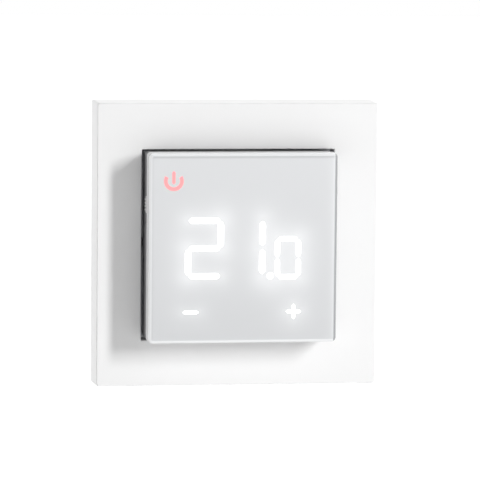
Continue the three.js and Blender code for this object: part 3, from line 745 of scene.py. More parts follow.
@dataclass
class CoverFrame:
    """The white cover frame: a mitred square shell with a collar round its opening."""

    wall: float = 2.0
    face: float = 2.4
    draft: float = 0.4
    collar_wall: float = 1.3
    collar_back: float = -4.6
    opening: float = 28.5
    opening_trim: float = 0.45
    corner: float = 0.7
    edge: float = 0.35
    tongue: Flat = (35.8, 37.0)
    tongue_half: float = 6.0
    tongue_back: float = -0.4
    sunk: float = 0.3
    catch_half: float = 0.6
    catch_reach: float = 1.6
    catch_back: float = -4.0

    def build(self) -> None:
        """Builds the frame and its four tongues, whose catches grip the mounting plate."""
        low, high = span("cover_frame")
        side, front = high.x, low.y
        inner_front = front + self.face
        shell = Sketch()
        shell.ring([
            (side, 0.0), (side - self.draft, front), (self.opening, front),
            (self.opening, self.collar_back), (self.opening + self.collar_wall, self.collar_back),
            (self.opening + self.collar_wall, inner_front), (side - self.wall, inner_front),
            (side - self.wall, 0.0),
        ])
        rim = [
            vert
            for vert in shell.mesh.verts
            if max(abs(vert.co.x), abs(vert.co.z)) < self.opening + self.collar_wall + 0.1
        ]
        for trim in (-self.opening_trim, self.opening_trim):
            half = [vert for vert in rim if vert.co.z * trim < 0.0]
            bmesh.ops.translate(shell.mesh, vec=(0.0, 0.0, trim), verts=half)
        self.round_corners(shell, side, front)
        shell.soften(self.edge, 3)
        for turn in range(4):
            self.add_tongue(shell, inner_front, turn * math.tau / 4)
        shell.cast("frame_shell", Body.FRAME, Slot.FRAME_WHITE, FRAME_WHITE, ["cover_frame"])

    def round_corners(self, shell: Sketch, side: float, front: float) -> None:
        """Rounds the four outer corners, before the long edges are softened.

        Args:
            shell: The frame's shape.
            side: Half of the frame's side.
            front: The y of its face.
        """
        corners = [
            edge
            for edge in shell.mesh.edges
            if all(min(abs(vert.co.x), abs(vert.co.z)) > side - 1.0 for vert in edge.verts)
            and abs(edge.verts[0].co.y - edge.verts[1].co.y) > abs(front) / 2
        ]
        shell.bevel(corners, self.corner, 4)

    def add_tongue(self, shell: Sketch, inner_front: float, angle: float) -> None:
        """Adds one tongue with its catch.

        Args:
            shell: The frame's shape.
            inner_front: The y of the face's back.
            angle: How far it is turned round the frame.
        """
        near, far = self.tongue
        half, root = self.tongue_half, inner_front - self.sunk
        before = set(shell.mesh.verts)
        tongue = shell.block((near, root, -half), (far, self.tongue_back, half))
        catch = shell.block(
            (far - 0.1, root, -self.catch_half), (far + self.catch_reach, self.catch_back, self.catch_half)
        )
        shell.soften(0.15, 2, tongue + catch)
        around = Matrix.Rotation(angle, 3, "Y")
        bmesh.ops.rotate(shell.mesh, cent=(0, 0, 0), matrix=around, verts=shell.since(before))


@dataclass(frozen=True)
class Segment:
    """One lit bar of a digit, as a centre line from one end to the other."""

    start: Flat
    end: Flat
    width: float
    gap: float = 0.0

    def outline(self) -> list[Flat]:
        """Gives the six corners of the bar, whose ends run to a point."""
        start, end = Vector(self.start), Vector(self.end)
        along = (end - start).normalized()
        across = Vector((-along.y, along.x)) * self.width / 2
        first, last = start + along * self.gap, end - along * self.gap
        reach = along * self.width / 2
        corners = [
            first, first + reach + across, last - reach + across,
            last, last - reach - across, first + reach - across,
        ]
        return [(corner.x, corner.y) for corner in corners]

    def distance(self, point: Flat) -> float:
        """Gives the distance from a point to the bar's centre line, less half its width."""
        start, end, spot = Vector(self.start), Vector(self.end), Vector(point)
        line = end - start
        share = min(1.0, max(0.0, (spot - start).dot(line) / max(line.length_squared, 1e-9)))
        return max(0.0, (spot - start - line * share).length - self.width / 2)


class Bars(Enum):
    """The seven bars of a digit, as its two ends in halves of the digit's size."""

    TOP = ((-1, 1), (1, 1))
    UPPER_RIGHT = ((1, 1), (1, 0))
    LOWER_RIGHT = ((1, 0), (1, -1))
    BOTTOM = ((-1, -1), (1, -1))
    LOWER_LEFT = ((-1, 0), (-1, -1))
    UPPER_LEFT = ((-1, 1), (-1, 0))
    MIDDLE = ((-1, 0), (1, 0))


TWO = (Bars.TOP, Bars.UPPER_RIGHT, Bars.MIDDLE, Bars.LOWER_LEFT, Bars.BOTTOM)
ONE = (Bars.UPPER_RIGHT, Bars.LOWER_RIGHT)
ZERO = (
    Bars.TOP, Bars.UPPER_RIGHT, Bars.LOWER_RIGHT, Bars.BOTTOM, Bars.LOWER_LEFT, Bars.UPPER_LEFT,
)


@dataclass(frozen=True)
class Digit:
    """A lit digit on the glass."""

    name: str
    bars: tuple[Bars, ...]
    centre: Flat
    half: Flat
    width: float
    gap: float

    def segments(self) -> list[Segment]:
        """Gives the digit's lit bars."""
        (x, z), (wide, tall) = self.centre, self.half
        return [
            Segment(
                *((x + across * wide, z + up * tall) for across, up in bar.value), self.width, self.gap
            )
            for bar in self.bars
        ]


@dataclass
class Display:
    """The lit marks, which shine through the print on the back of the glass."""

    proud: float = 0.02
    depth: float = 0.08
    bar_corner: float = 0.22
    minus: Segment = Segment((-17.8, -18.6), (-13.0, -18.6), 1.05)
    plus: tuple[Segment, ...] = (
        Segment((12.6, -18.6), (17.2, -18.6), 1.0),
        Segment((14.9, -20.9), (14.9, -16.3), 1.0),
    )
    point: Flat = (7.95, -8.1)
    point_radius: float = 1.0
    power: Flat = (-20.55, 19.7)
    power_radius: float = 2.35
    power_stroke: float = 1.05
    power_open: float = 60.0
    power_bar: Flat = (-1.0, 2.9)
    power_bar_width: float = 0.95
    digits: tuple[Digit, ...] = (
        Digit("digit_two", TWO, (-11.48, 0.05), (4.78, 8.1), 1.75, 0.05),
        Digit("digit_one", ONE, (0.83, 0.2), (4.72, 8.3), 1.85, 0.45),
        Digit("digit_zero", ZERO, (13.08, -2.85), (3.1, 5.55), 1.5, 0.1),
    )

    def lit_bars(self) -> list[Segment]:
        """Gives every white bar, with the decimal point as a short one."""
        x, z = self.point
        dot = Segment((x, z), (x + 0.01, z), 2 * self.point_radius)
        bars = [bar for digit in self.digits for bar in digit.segments()]
        return [*bars, dot, self.minus, *self.plus]

    def build(self, front: float) -> None:
        """Builds the marks.

        Args:
            front: The y of the glass's face.
        """
        self.front, self.back = front - self.proud, front + self.depth
        for digit in self.digits:
            self.cast_bars(digit.name, digit.segments())
        self.cast_bars("minus_mark", [self.minus])
        self.cast_bars("plus_mark", self.plus)
        point = Sketch()
        point.turn([
            (0.0, self.front), (self.point_radius - 0.1, self.front), (self.point_radius, self.front + 0.02),
            (self.point_radius, self.back), (0.0, self.back),
        ], (self.point[0], 0.0, self.point[1]))
        point.cast("decimal_point", Body.MODULE, Slot.GLASS, WHITE_LIGHT)
        self.cast_power()

    def cast_bars(self, name: str, bars: Sequence[Segment]) -> None:
        """Builds one mark of several bars.

        Args:
            name: The mark's name.
            bars: Its bars.
        """
        mark = Sketch()
        for bar in bars:
            mark.prism(bar.outline(), self.front, self.back)
        upright = [
            edge for edge in mark.mesh.edges if abs(edge.verts[0].co.y - edge.verts[1].co.y) > self.depth / 2
        ]
        mark.bevel(upright, bars[0].width * self.bar_corner, 4)
        mark.cast(name, Body.MODULE, Slot.GLASS, WHITE_LIGHT)

    def cast_power(self) -> None:
        """Builds the power mark: a ring that is open at its top, and a bar in the opening."""
        x, z = self.power
        mark = Sketch()
        near, far = self.power_radius - self.power_stroke / 2, self.power_radius + self.power_stroke / 2
        section = mark.block((x + near, self.front, z - 0.01), (x + far, self.back, z))
        upper = max(mark.mesh.faces, key=lambda face: face.calc_center_median().z)
        spare = [face for face in mark.mesh.faces if face is not upper]
        bmesh.ops.delete(mark.mesh, geom=spare, context="FACES")
        opening = math.radians(self.power_open)
        bmesh.ops.rotate(
            mark.mesh, cent=(x, 0, z), verts=[vert for vert in section if vert.is_valid],
            matrix=Matrix.Rotation(-(math.pi / 2 - opening), 3, "Y"),
        )
        bmesh.ops.spin(
            mark.mesh, geom=mark.mesh.verts[:] + mark.mesh.edges[:] + mark.mesh.faces[:], cent=(x, 0, z),
            axis=Axis.Y.value, angle=math.tau - 2 * opening, steps=40,
        )
        bottom, top = self.power_bar
        bar = Segment((x, z + top), (x, z + bottom), self.power_bar_width)
        mark.prism(bar.outline(), self.front, self.back)
        mark.cast("power_mark", Body.MODULE, Slot.GLASS, RED_LIGHT)


@dataclass
class GlassPanel:
    """The front glass, with rounded edges and a print on its back."""

    bevel: float = 1.0
    corner: float = 1.3
    back_edge: float = 0.12
    cell: float = 0.7
    halo: float = 0.3
    reach: float = 2.0
    brightest: float = 0.5
    # From here on the fields paint light and shade on the glass: a painted highlight on every bevel but the
    # right one, painted shade on the right bevel and on the top bevel, a painted highlight along the right
    # edge of the face, and a painted sheen that grows towards the top.
    bevel_highlight: float = 0.6
    shaded_bevel_share: float = 0.9
    top_bevel_shade: float = 0.34
    rim: float = 0.2
    right_highlight_reach: float = 1.2
    top_sheen: float = 0.18

    def build(self, display: Display) -> None:
        """Builds the glass.

        Args:
            display: The lit marks, whose light spreads in the glass round them.
        """
        low, high = span("glass_panel")
        panel = Sketch()
        panel.block(low, high)
        self.round_corners(panel)
        self.round_rim(panel, low.y, self.bevel, 5)
        self.round_rim(panel, high.y, self.back_edge, 2)
        self.divide(panel, low.y, high.x - self.bevel)
        piece = panel.cast("front_glass", Body.MODULE, Slot.GLASS, GLASS, ["glass_panel"], 50.0)
        self.mark_light(piece, display, low.y, high.x)
        display.build(low.y)

    def round_corners(self, panel: Sketch) -> None:
        """Rounds the four corners, which run along Y."""
        corners = [
            edge
            for edge in panel.mesh.edges
            if abs((edge.verts[0].co - edge.verts[1].co).normalized().y) > 0.99
        ]
        panel.bevel(corners, self.corner, 5, clamp=False)

    @staticmethod
    def round_rim(panel: Sketch, y: float, width: float, segments: int) -> None:
        """Rounds the edges of a face that is square to Y.

        Args:
            panel: The shape.
            y: The face's place.
            width: The width of the rounding.
            segments: Its steps.
        """
        rim = [edge for edge in panel.mesh.edges if all(abs(vert.co.y - y) < 1e-4 for vert in edge.verts)]
        panel.bevel(rim, width, segments, clamp=False)

    def divide(self, panel: Sketch, front: float, half: float) -> None:
        """Divides the flat front into cells, so that it can carry a fine pattern of light.

        Args:
            panel: The shape.
            front: The y of its front.
            half: Half the side of the flat.
        """
        count = math.ceil(2 * half / self.cell)
        for normal in (Axis.X, Axis.Z):
            for step in range(1, count):
                place = Vector(normal.value) * (-half + step * 2 * half / count)
                faces = [
                    face for face in panel.mesh.faces if all(abs(v.co.y - front) < 1e-4 for v in face.verts)
                ]
                parts = {part for face in faces for part in (*face.verts, *face.edges, face)}
                bmesh.ops.bisect_plane(
                    panel.mesh, geom=list(parts), dist=1e-5, plane_co=place, plane_no=normal.value
                )

    def mark_light(self, piece: bpy.types.Object, display: Display, front: float, half: float) -> None:
        """Writes how brightly each point glows and how much painted shade it carries. The glow holds the
        backlight round the marks, painted highlights on the bevels and along the right edge, and a painted
        sheen towards the top; the edge value is painted shade on the right and top bevels.

        Args:
            piece: The glass.
            display: The lit marks.
            front: The y of the glass's front, in millimetres.
            half: Half of its side.
        """
        bars = display.lit_bars()
        # The glow holds the backlight plus painted highlights; the edge value is painted shade.
        glow = piece.data.attributes.new("glow", "FLOAT", "POINT")
        edge = piece.data.attributes.new("edge", "FLOAT", "POINT")
        for index, vert in enumerate(piece.data.vertices):
            x, y, z = vert.co / MM
            if y > front + 0.01:
                # Painted light on the bevels: painted shade on the right one, painted highlight on the rest.
                on_shaded_side = x > half - self.bevel * self.shaded_bevel_share
                edge.data[index].value = 1.0 if on_shaded_side else 0.0
                glow.data[index].value = 0.0 if on_shaded_side else self.bevel_highlight
                continue
            # Painted shade on the top bevel.
            edge.data[index].value = self.top_bevel_shade if z > half - self.bevel - 0.05 else 0.0
            spread = sum(
                self.halo * bar.width * math.exp(-bar.distance((x, z)) / self.reach) for bar in bars
            )
            light = self.brightest * (1.0 - math.exp(-spread / self.brightest))
            # Painted highlight along the right edge of the face.
            rim = self.rim * math.exp(-(half - self.bevel - x) / self.right_highlight_reach)
            # Painted sheen, brighter towards the top.
            top_sheen = self.top_sheen * (0.5 + 0.5 * z / half)
            glow.data[index].value = min(1.0, light + rim + top_sheen)


@dataclass
class SideSwitch:
    """The white slide knob in the module's left side, with its shutter and switch."""

    head_depth: float = 3.2
    ridge: float = 0.22
    ridges: int = 4
    stem: Flat = (-15.5, -14.4)
    stem_half: float = 0.8
    pin_pitch: float = 2.5

    def build(self) -> None:
        """Builds the knob with its ridges, the shutter and the switch."""
        low, high = span("switch_knob")
        head_back = span("switch_shutter")[0].x - 0.15
        knob = Sketch()
        front, back = low.y, low.y + self.head_depth
        floor = low.x + 0.3
        body = knob.block((floor, front, low.z), (head_back, back, high.z))
        knob.soften(0.25, 3, body)
        pitch = (high.z - low.z - 1.0) / self.ridges
        for step in range(self.ridges):
            centre = low.z + 0.5 + (step + 0.5) * pitch
            ridge = knob.block(
                (low.x, front + 0.3, centre - self.ridge), (floor + 0.1, back - 0.3, centre + self.ridge)
            )
            knob.soften(0.12, 2, ridge)
        z = (low.z + high.z) / 2
        stem = knob.block(
            (head_back - 0.5, self.stem[0], z - self.stem_half), (high.x, self.stem[1], z + self.stem_half)
        )
        knob.soften(0.1, 1, stem)
        knob.cast("switch_slide_knob", Body.SLIDER, Slot.CAP_WHITE, CAP_WHITE, ["switch_knob"])
        refine("switch_shutter", Body.SLIDER, Slot.GREY, BODY_GREY, 0.08)
        refine("slide_switch", Body.MODULE, Slot.BLACK, BLACK, 0.15)
        self.add_cover()

    def add_cover(self) -> None:
        """Adds the switch's folded steel cover and its pins."""
        low, high = span("slide_switch")
        side, back = high.x, high.y
        cover = Sketch()
        sheet = cover.block((side - 0.05, low.y + 1.8, low.z + 0.4), (side + 0.25, back - 0.2, high.z - 0.4))
        cover.soften(0.1, 2, sheet)
        for step in (-1, 0, 1):
            z = (low.z + high.z) / 2 + step * self.pin_pitch
            pin = cover.block((side - 1.4, back - 0.1, z - 0.25), (side - 0.9, back + 0.5, z + 0.25))
            cover.soften(0.05, 1, pin)
        cover.cast("slide_switch_cover", Body.MODULE, Slot.STEEL, ZINC)


# Touch module, behind the glass.


@dataclass(frozen=True)
class Screw:
    """A slotted screw along Y with its head towards the room."""

    node: str
    body: Union[Body, str]
    head_depth: float
    shank: float
    pitch: float
    slot: Flat = (0.7, 0.8)
    sides: int = 24

    def build(self) -> None:
        """Builds the turned screw, cuts its slot and winds its thread."""
        low, high = span(self.node)
        axis = axle(self.node)
        radius = (high.x - low.x) / 2
        head_back = low.y + self.head_depth
        core = self.shank - 0.3 * self.pitch
        screw = Sketch()
        screw.turn([
            (0.0, low.y), (radius - 0.55, low.y), (radius - 0.25, low.y + 0.08),
            (radius - 0.07, low.y + 0.25), (radius, low.y + 0.5), (radius, head_back - 0.12),
            (radius - 0.12, head_back),
            (self.shank, head_back), (self.shank, head_back + 0.3), (core, head_back + 0.5),
            (core, high.y - 0.5), (core - 0.35, high.y), (0.0, high.y),
        ], axis, Axis.Y, self.sides)
        width, depth = self.slot
        tool = Sketch()
        tool.block(
            (low.x - 1.0, low.y - 1.0, axis.z - width / 2), (high.x + 1.0, low.y + depth, axis.z + width / 2)
        )
        screw.carve(tool)
        start = head_back + 0.5 + self.pitch / 2
        turns = max(1.0, (high.y - 0.5 - self.pitch / 2 - start) / self.pitch)
        section = [(core - 0.12, -0.4 * self.pitch), (self.shank, 0.0), (core - 0.12, 0.4 * self.pitch)]
        screw.coil(section, axis + Vector((0.0, start, 0.0)), self.pitch, turns, 14)
        screw.cast(f"{self.node}_turned", self.body, Slot.STEEL, SCREW, [self.node])


@dataclass
class TouchModule:
    """The light guide, the display board and the parts that it carries."""

    wire: float = 0.25
    spring_turns: float = 3.0
    chip_legs: int = 12
    chip_pitch: float = 0.65
    leg_half: float = 0.14
    lead: float = 0.15
    plug_columns: int = 4
    plug_pitch: float = 2.54
    pin: float = 0.32

    def build(self) -> None:
        """Builds the parts from the light guide back to the plug."""
        refine("diffuser_film", Body.MODULE, Slot.LIGHT, MILKY, 0.05, 1)
        refine("light_guide", Body.MODULE, Slot.LIGHT, MILKY)
        refine("display_board", Body.MODULE, Slot.BOARD, MASK, 0.08, 1)
        for key in ("power", "minus", "plus"):
            self.add_spring(f"touch_spring_{key}")
        for place in ("upper", "lower"):
            Screw(f"board_screw_{place}", Body.MODULE, 1.3, 0.85, 0.5, (0.6, 0.7)).build()
        self.add_chip()
        self.add_small_parts()
        self.add_sensor()
        self.add_plug()

    def add_spring(self, node: str) -> None:
        """Adds a touch spring.

        Args:
            node: The spring's node.
        """
        low, high = span(node)
        axis = axle(node)
        radius = (high.x - low.x) / 2 - self.wire
        section = wire_section(radius, self.wire)
        pitch = (high.y - low.y - 2 * self.wire) / self.spring_turns
        spring = Sketch()
        start = axis + Vector((0.0, low.y + self.wire, 0.0))
        spring.coil(section, start, pitch, self.spring_turns, 28)
        spring.cast(f"{node}_wound", Body.MODULE, Slot.STEEL, SPRING, [node])

    def add_chip(self) -> None:
        """Adds the controller chip with its legs along all four sides."""
        low, high = span("controller_chip")
        chip = Sketch()
        chip.block((low.x + 0.6, low.y + 0.15, low.z + 0.6), (high.x - 0.6, high.y, high.z - 0.6))
        chip.soften(0.14, 2)
        dot = Sketch()
        dot.rod(0.45, 0.0, 0.4, (low.x + 1.7, high.y - 0.1, high.z - 1.7), sides=32)
        chip.carve(dot)
        chip.cast("chip_body", Body.MODULE, Slot.BLACK, BLACK, ["controller_chip"])
        centre = middle("controller_chip")
        half = (high.x - low.x) / 2
        legs = Sketch()
        shoulder = (half - 0.7, half - 0.25), (low.y + 0.65, low.y + 0.8)
        drop = (half - 0.35, half - 0.2), (low.y + 0.05, low.y + 0.8)
        foot = (half - 0.3, half + 0.25), (low.y + 0.02, low.y + 0.17)
        for turn in range(4):
            made = []
            for step in range(self.chip_legs):
                z = (step - (self.chip_legs - 1) / 2) * self.chip_pitch
                for (near, far), (front, back) in (shoulder, drop, foot):
                    made += legs.block((near, front, z - self.leg_half), (far, back, z + self.leg_half))
            around = Matrix.Rotation(turn * math.tau / 4, 3, "Y")
            bmesh.ops.rotate(legs.mesh, cent=(0, 0, 0), matrix=around, verts=made)
        bmesh.ops.translate(legs.mesh, vec=(centre.x, 0.0, centre.z), verts=legs.mesh.verts)
        legs.cast("chip_legs", Body.MODULE, Slot.STEEL, SOLDER)

    def add_small_parts(self) -> None:
        """Adds the rows of small resistors and capacitors on the board's back."""
        back = span("display_board")[1].y
        rows = [((-16.0 + 3.4 * step, 11.5), 0.55) for step in range(10)]
        rows += [((-16.0 + 3.4 * step, 16.5), 0.45) for step in range(10)]
        rows += [((-11.5 - 3.2 * (step % 2), -14.0 + 2.6 * step), 0.7) for step in range(5)]
        rows += [((7.0 + 3.2 * (step % 3), -13.0 + 2.4 * step), 0.5) for step in range(6)]
        SmallParts(Body.MODULE, "display").build(rows, back)

    def add_sensor(self) -> None:
        """Adds the room sensor: a glazed bead on two bent leads."""
        low, high = span("room_sensor")
        centre_x = middle("room_sensor").x
        radius = (high.x - low.x) / 2
        bead_y = high.y - radius
        bead = Sketch()
        arc = [math.pi * step / 12 for step in range(13)]
        profile = [(radius * math.sin(angle), radius * (1.0 - math.cos(angle))) for angle in arc]
        profile[-2:] = [(0.42 * radius, 2.2 * radius), (0.0, 2.35 * radius)]
        bead.turn(profile, (centre_x, bead_y, low.z), Axis.Z, 24)
        bead.cast("sensor_bead", Body.MODULE, Slot.BLACK, BEAD, ["room_sensor"], 60.0)
        leads = Sketch()
        for x in (centre_x - 0.4, centre_x + 0.4):
            leads.rod(self.lead, 0.0, high.z - low.z - 1.2, (x, bead_y, low.z + 1.2), Axis.Z)
            leads.rod(self.lead, low.y - 1.8, bead_y + self.lead, (x, 0.0, high.z - self.lead))
        leads.cast("sensor_leads", Body.MODULE, Slot.STEEL, SOLDER)

    def add_plug(self) -> None:
        """Adds the pin header: a black strip and its two rows of brass pins."""
        low, high = span("pin_header")
        centre = middle("pin_header")
        first = centre.x - (self.plug_columns - 1) / 2 * self.plug_pitch
        columns = [first + step * self.plug_pitch for step in range(self.plug_columns)]
        strip = Sketch()
        for x in columns:
            strip.block((x - 1.3, low.y, low.z), (x + 1.3, low.y + 2.5, high.z))
        strip.soften(0.3, 1)
        strip.cast("plug_strip", Body.MODULE, Slot.BLACK, BLACK, ["pin_header"])
        pins = Sketch()
        for x in columns:
            for z in (centre.z - self.plug_pitch / 2, centre.z + self.plug_pitch / 2):
                pins.block((x - self.pin, low.y - 1.0, z - self.pin), (x + self.pin, high.y, z + self.pin))
        pins.soften(0.12, 1)
        pins.cast("plug_pins", Body.MODULE, Slot.BRASS, BRASS)


@dataclass(frozen=True)
class SmallParts:
    """Rows of small soldered chips on a board."""

    body: Body
    prefix: str

    def build(self, places: Sequence[tuple[Flat, float]], back: float) -> None:
        """Builds the ceramic bodies and their tinned ends.

        Args:
            places: The (x, z) middle of each part and its half width.
            back: The y of the board's face, with the parts behind it.
        """
        bodies, ends = Sketch(), Sketch()
        for (x, z), half in places:
            tall = back + 1.1 * half
            bodies.block((x - half, back - 0.02, z - 1.6 * half), (x + half, tall, z + 1.6 * half))
            for side in (-1, 1):
                near, far = sorted((z + side * 1.3 * half, z + side * 2.0 * half))
                ends.block((x - 1.04 * half, back - 0.02, near), (x + 1.04 * half, tall + 0.03, far))
        bodies.soften(0.06, 1)
        ends.soften(0.1, 2)
        bodies.cast(f"{self.prefix}_small_bodies", self.body, Slot.BLACK, CERAMIC)
        ends.cast(f"{self.prefix}_small_ends", self.body, Slot.STEEL, SOLDER)


# Base, from the deck cover back into the wall box.


@dataclass
class Base:
    """The mounting plate, the deck cover, the rear housing and their screws."""

    def build(self) -> None:
        """Builds the still parts that hold everything else."""
        refine("mounting_plate", Body.BASE, Slot.STEEL, ZINC, 0.16)
        refine("base_cover", Body.BASE, Slot.GREY, BODY_GREY, 0.2)
        refine("rear_housing", Body.BASE, Slot.GREY, BODY_GREY, 0.25)
        refine("header_socket", Body.BASE, Slot.BLACK, BLACK, 0.1, 1)
        for side in ("left", "right"):
            Screw(f"box_screw_{side}", Body.BASE, 1.8, 1.5, 0.7, (0.8, 0.9), 32).build()
            Screw(f"housing_screw_{side}", Body.BASE, 1.5, 1.2, 0.9).build()
        self.add_marks()

    @staticmethod
    def add_marks() -> None:
        """Raises one to four short bars beside each screw hole of the deck, to count them by."""
        front = span("base_cover")[0].y
        marks = Sketch()
        for row, count, side in (("mains", 4, 1), ("sensor", 2, -1)):
            for number in range(1, count + 1):
                screw = middle(f"{row}_screw_{number}")
                z = screw.z + side * 4.6
                for stroke in range(number):
                    x = screw.x + (stroke - (number - 1) / 2) * 0.9
                    marks.block((x - 0.2, front - 0.22, z - 0.8), (x + 0.2, front + 0.1, z + 0.8))
        marks.soften(0.08, 1)
        marks.cast("deck_marks", Body.BASE, Slot.GREY, BODY_GREY)


@dataclass(frozen=True)
class TerminalRow:
    """A row of rising-cage terminals."""

    name: str
    count: int
    shank: float
    pitch: float

    def build(self) -> None:
        """Builds the block, and the cage, the screw and the bar of each terminal."""
        refine(f"{self.name}_terminal_block", Body.BASE, Slot.BLACK, BLACK, 0.2)
        for number in range(1, self.count + 1):
            cage, screw = f"{self.name}_cage_{number}", f"{self.name}_screw_{number}"
            refine(cage, cage, Slot.STEEL, ZINC, 0.15)
            refine(f"{self.name}_bar_{number}", Body.BASE, Slot.BRASS, BRASS, 0.1)
            Screw(screw, screw, 2.1, self.shank, self.pitch, sides=28).build()


@dataclass(frozen=True)
class Legs:
    """The soldered legs of a part on the power board."""

    name: str
    radius: float = 0.3
    front: float = -2.2
    back: float = 0.6

    def build(self, places: Iterable[Flat], board: float) -> None:
        """Builds the legs.

        Args:
            places: The (x, z) place of each.
            board: The y of the board's back, from which their ends are counted.
        """
        profile = [
            (0.0, self.front), (self.radius, self.front + 0.1), (self.radius, self.back), (0.0, self.back),
        ]
        legs = Sketch()
        for x, z in places:
            legs.turn(profile, (x, board, z), Axis.Y, 10)
        legs.cast(self.name, Body.BASE, Slot.STEEL, SOLDER)


@dataclass(frozen=True)
class Transformer:
    """The supply transformer: two core halves, a taped winding, a bobbin and its pins."""

    core_in: float = 0.5
    core_end: float = 1.6
    limb: float = 2.1
    yoke: float = 1.3
    stand: float = 1.3
    seam: float = 0.03
    tape_in: float = 2.4
    flange_in: float = 2.1
    flange: float = 0.5
    pins: int = 4
    pin_in: float = 1.8

    def build(self) -> None:
        """Builds the core, the tape, the bobbin and the pins."""
        low, high = span("supply_transformer")
        self.build_core(low, high)
        tape = Sketch()
        tape.block(
            (low.x + self.tape_in, low.y + 3.0, low.z), (high.x - self.tape_in, high.y - 2.0, high.z)
        )
        tape.soften(0.9, 5)
        tape.cast("transformer_tape", Body.BASE, Slot.YELLOW, TAPE)
        bobbin = Sketch()
        bobbin.block((low.x, low.y + 0.3, low.z + 0.6), (high.x, low.y + 1.5, high.z - 0.6))
        near, far = low.x + self.flange_in, high.x - self.flange_in
        for y in (low.y + 2.5, high.y - 2.0):
            bobbin.block((near, y, low.z + 0.2), (far, y + self.flange, high.z - 0.2))
        bobbin.soften(0.2, 2)
        bobbin.cast("transformer_bobbin", Body.BASE, Slot.BLACK, BLACK)
        pitch = (high.x - low.x - 2 * self.pin_in) / (self.pins - 1)
        across = [low.x + self.pin_in + step * pitch for step in range(self.pins)]
        places = [(x, z) for x in across for z in (low.z + 1.2, high.z - 1.2)]
        Legs("transformer_pins").build(places, low.y)

    def build_core(self, low: Vector, high: Vector) -> None:
        """Builds the core, whose halves meet at a thin seam.

        Args:
            low: The transformer's lowest corner.
            high: Its highest corner.
        """
        left, right = low.x + self.core_in, high.x - self.core_in
        bottom, top = low.z + self.core_end, high.z - self.core_end
        front, back = low.y + self.stand, high.y
        meet = (low.y + high.y) / 2 + 0.5
        core = Sketch()
        for near, far in ((front, meet - self.seam), (meet + self.seam, back)):
            core.block((left, near, bottom), (left + self.limb, far, top))
            core.block((right - self.limb, near, bottom), (right, far, top))
        for near, far in ((front, front + self.yoke), (back - 1.6, back)):
            core.block((left, near, bottom), (right, far, top))
        core.soften(0.25, 2)
        core.cast("transformer_core", Body.BASE, Slot.BLACK, FERRITE, ["supply_transformer"])


@dataclass(frozen=True)
class Varistor:
    """The varistor: a lacquered disc standing on two legs."""

    leg_side: float = 1.8
    rim: float = 0.12
    shoulder: float = 0.5
    flat: float = 1.2

    def build(self) -> None:
        """Builds the disc with the lacquer that runs down its legs, and the legs."""
        low, high = span("varistor")
        radius, half = (high.x - low.x) / 2, (high.z - low.z) / 2
        centre = Vector((middle("varistor").x, high.y - radius, middle("varistor").z))
        flat, shoulder, rim = radius - self.flat, radius - self.shoulder, radius - self.rim
        disc = Sketch()
        disc.turn([
            (0.0, -half), (flat, -half), (shoulder, 0.2 - half), (rim, 0.55 - half), (radius, 0.0),
            (rim, half - 0.55), (shoulder, half - 0.2), (flat, half), (0.0, half),
        ], centre, Axis.Z, 40)
        sides = [centre.x - self.leg_side, centre.x + self.leg_side]
        for x in sides:
            disc.turn([
                (0.0, low.y + 0.5), (0.3, low.y + 0.6), (0.5, low.y + 1.6), (0.5, centre.y), (0.0, centre.y),
            ], (x, 0.0, centre.z), Axis.Y, 14)
        disc.cast("varistor_disc", Body.BASE, Slot.BLUE, BLUE, ["varistor"])
        Legs("varistor_legs", 0.28, -2.1, 1.2).build([(x, centre.z) for x in sides], low.y)


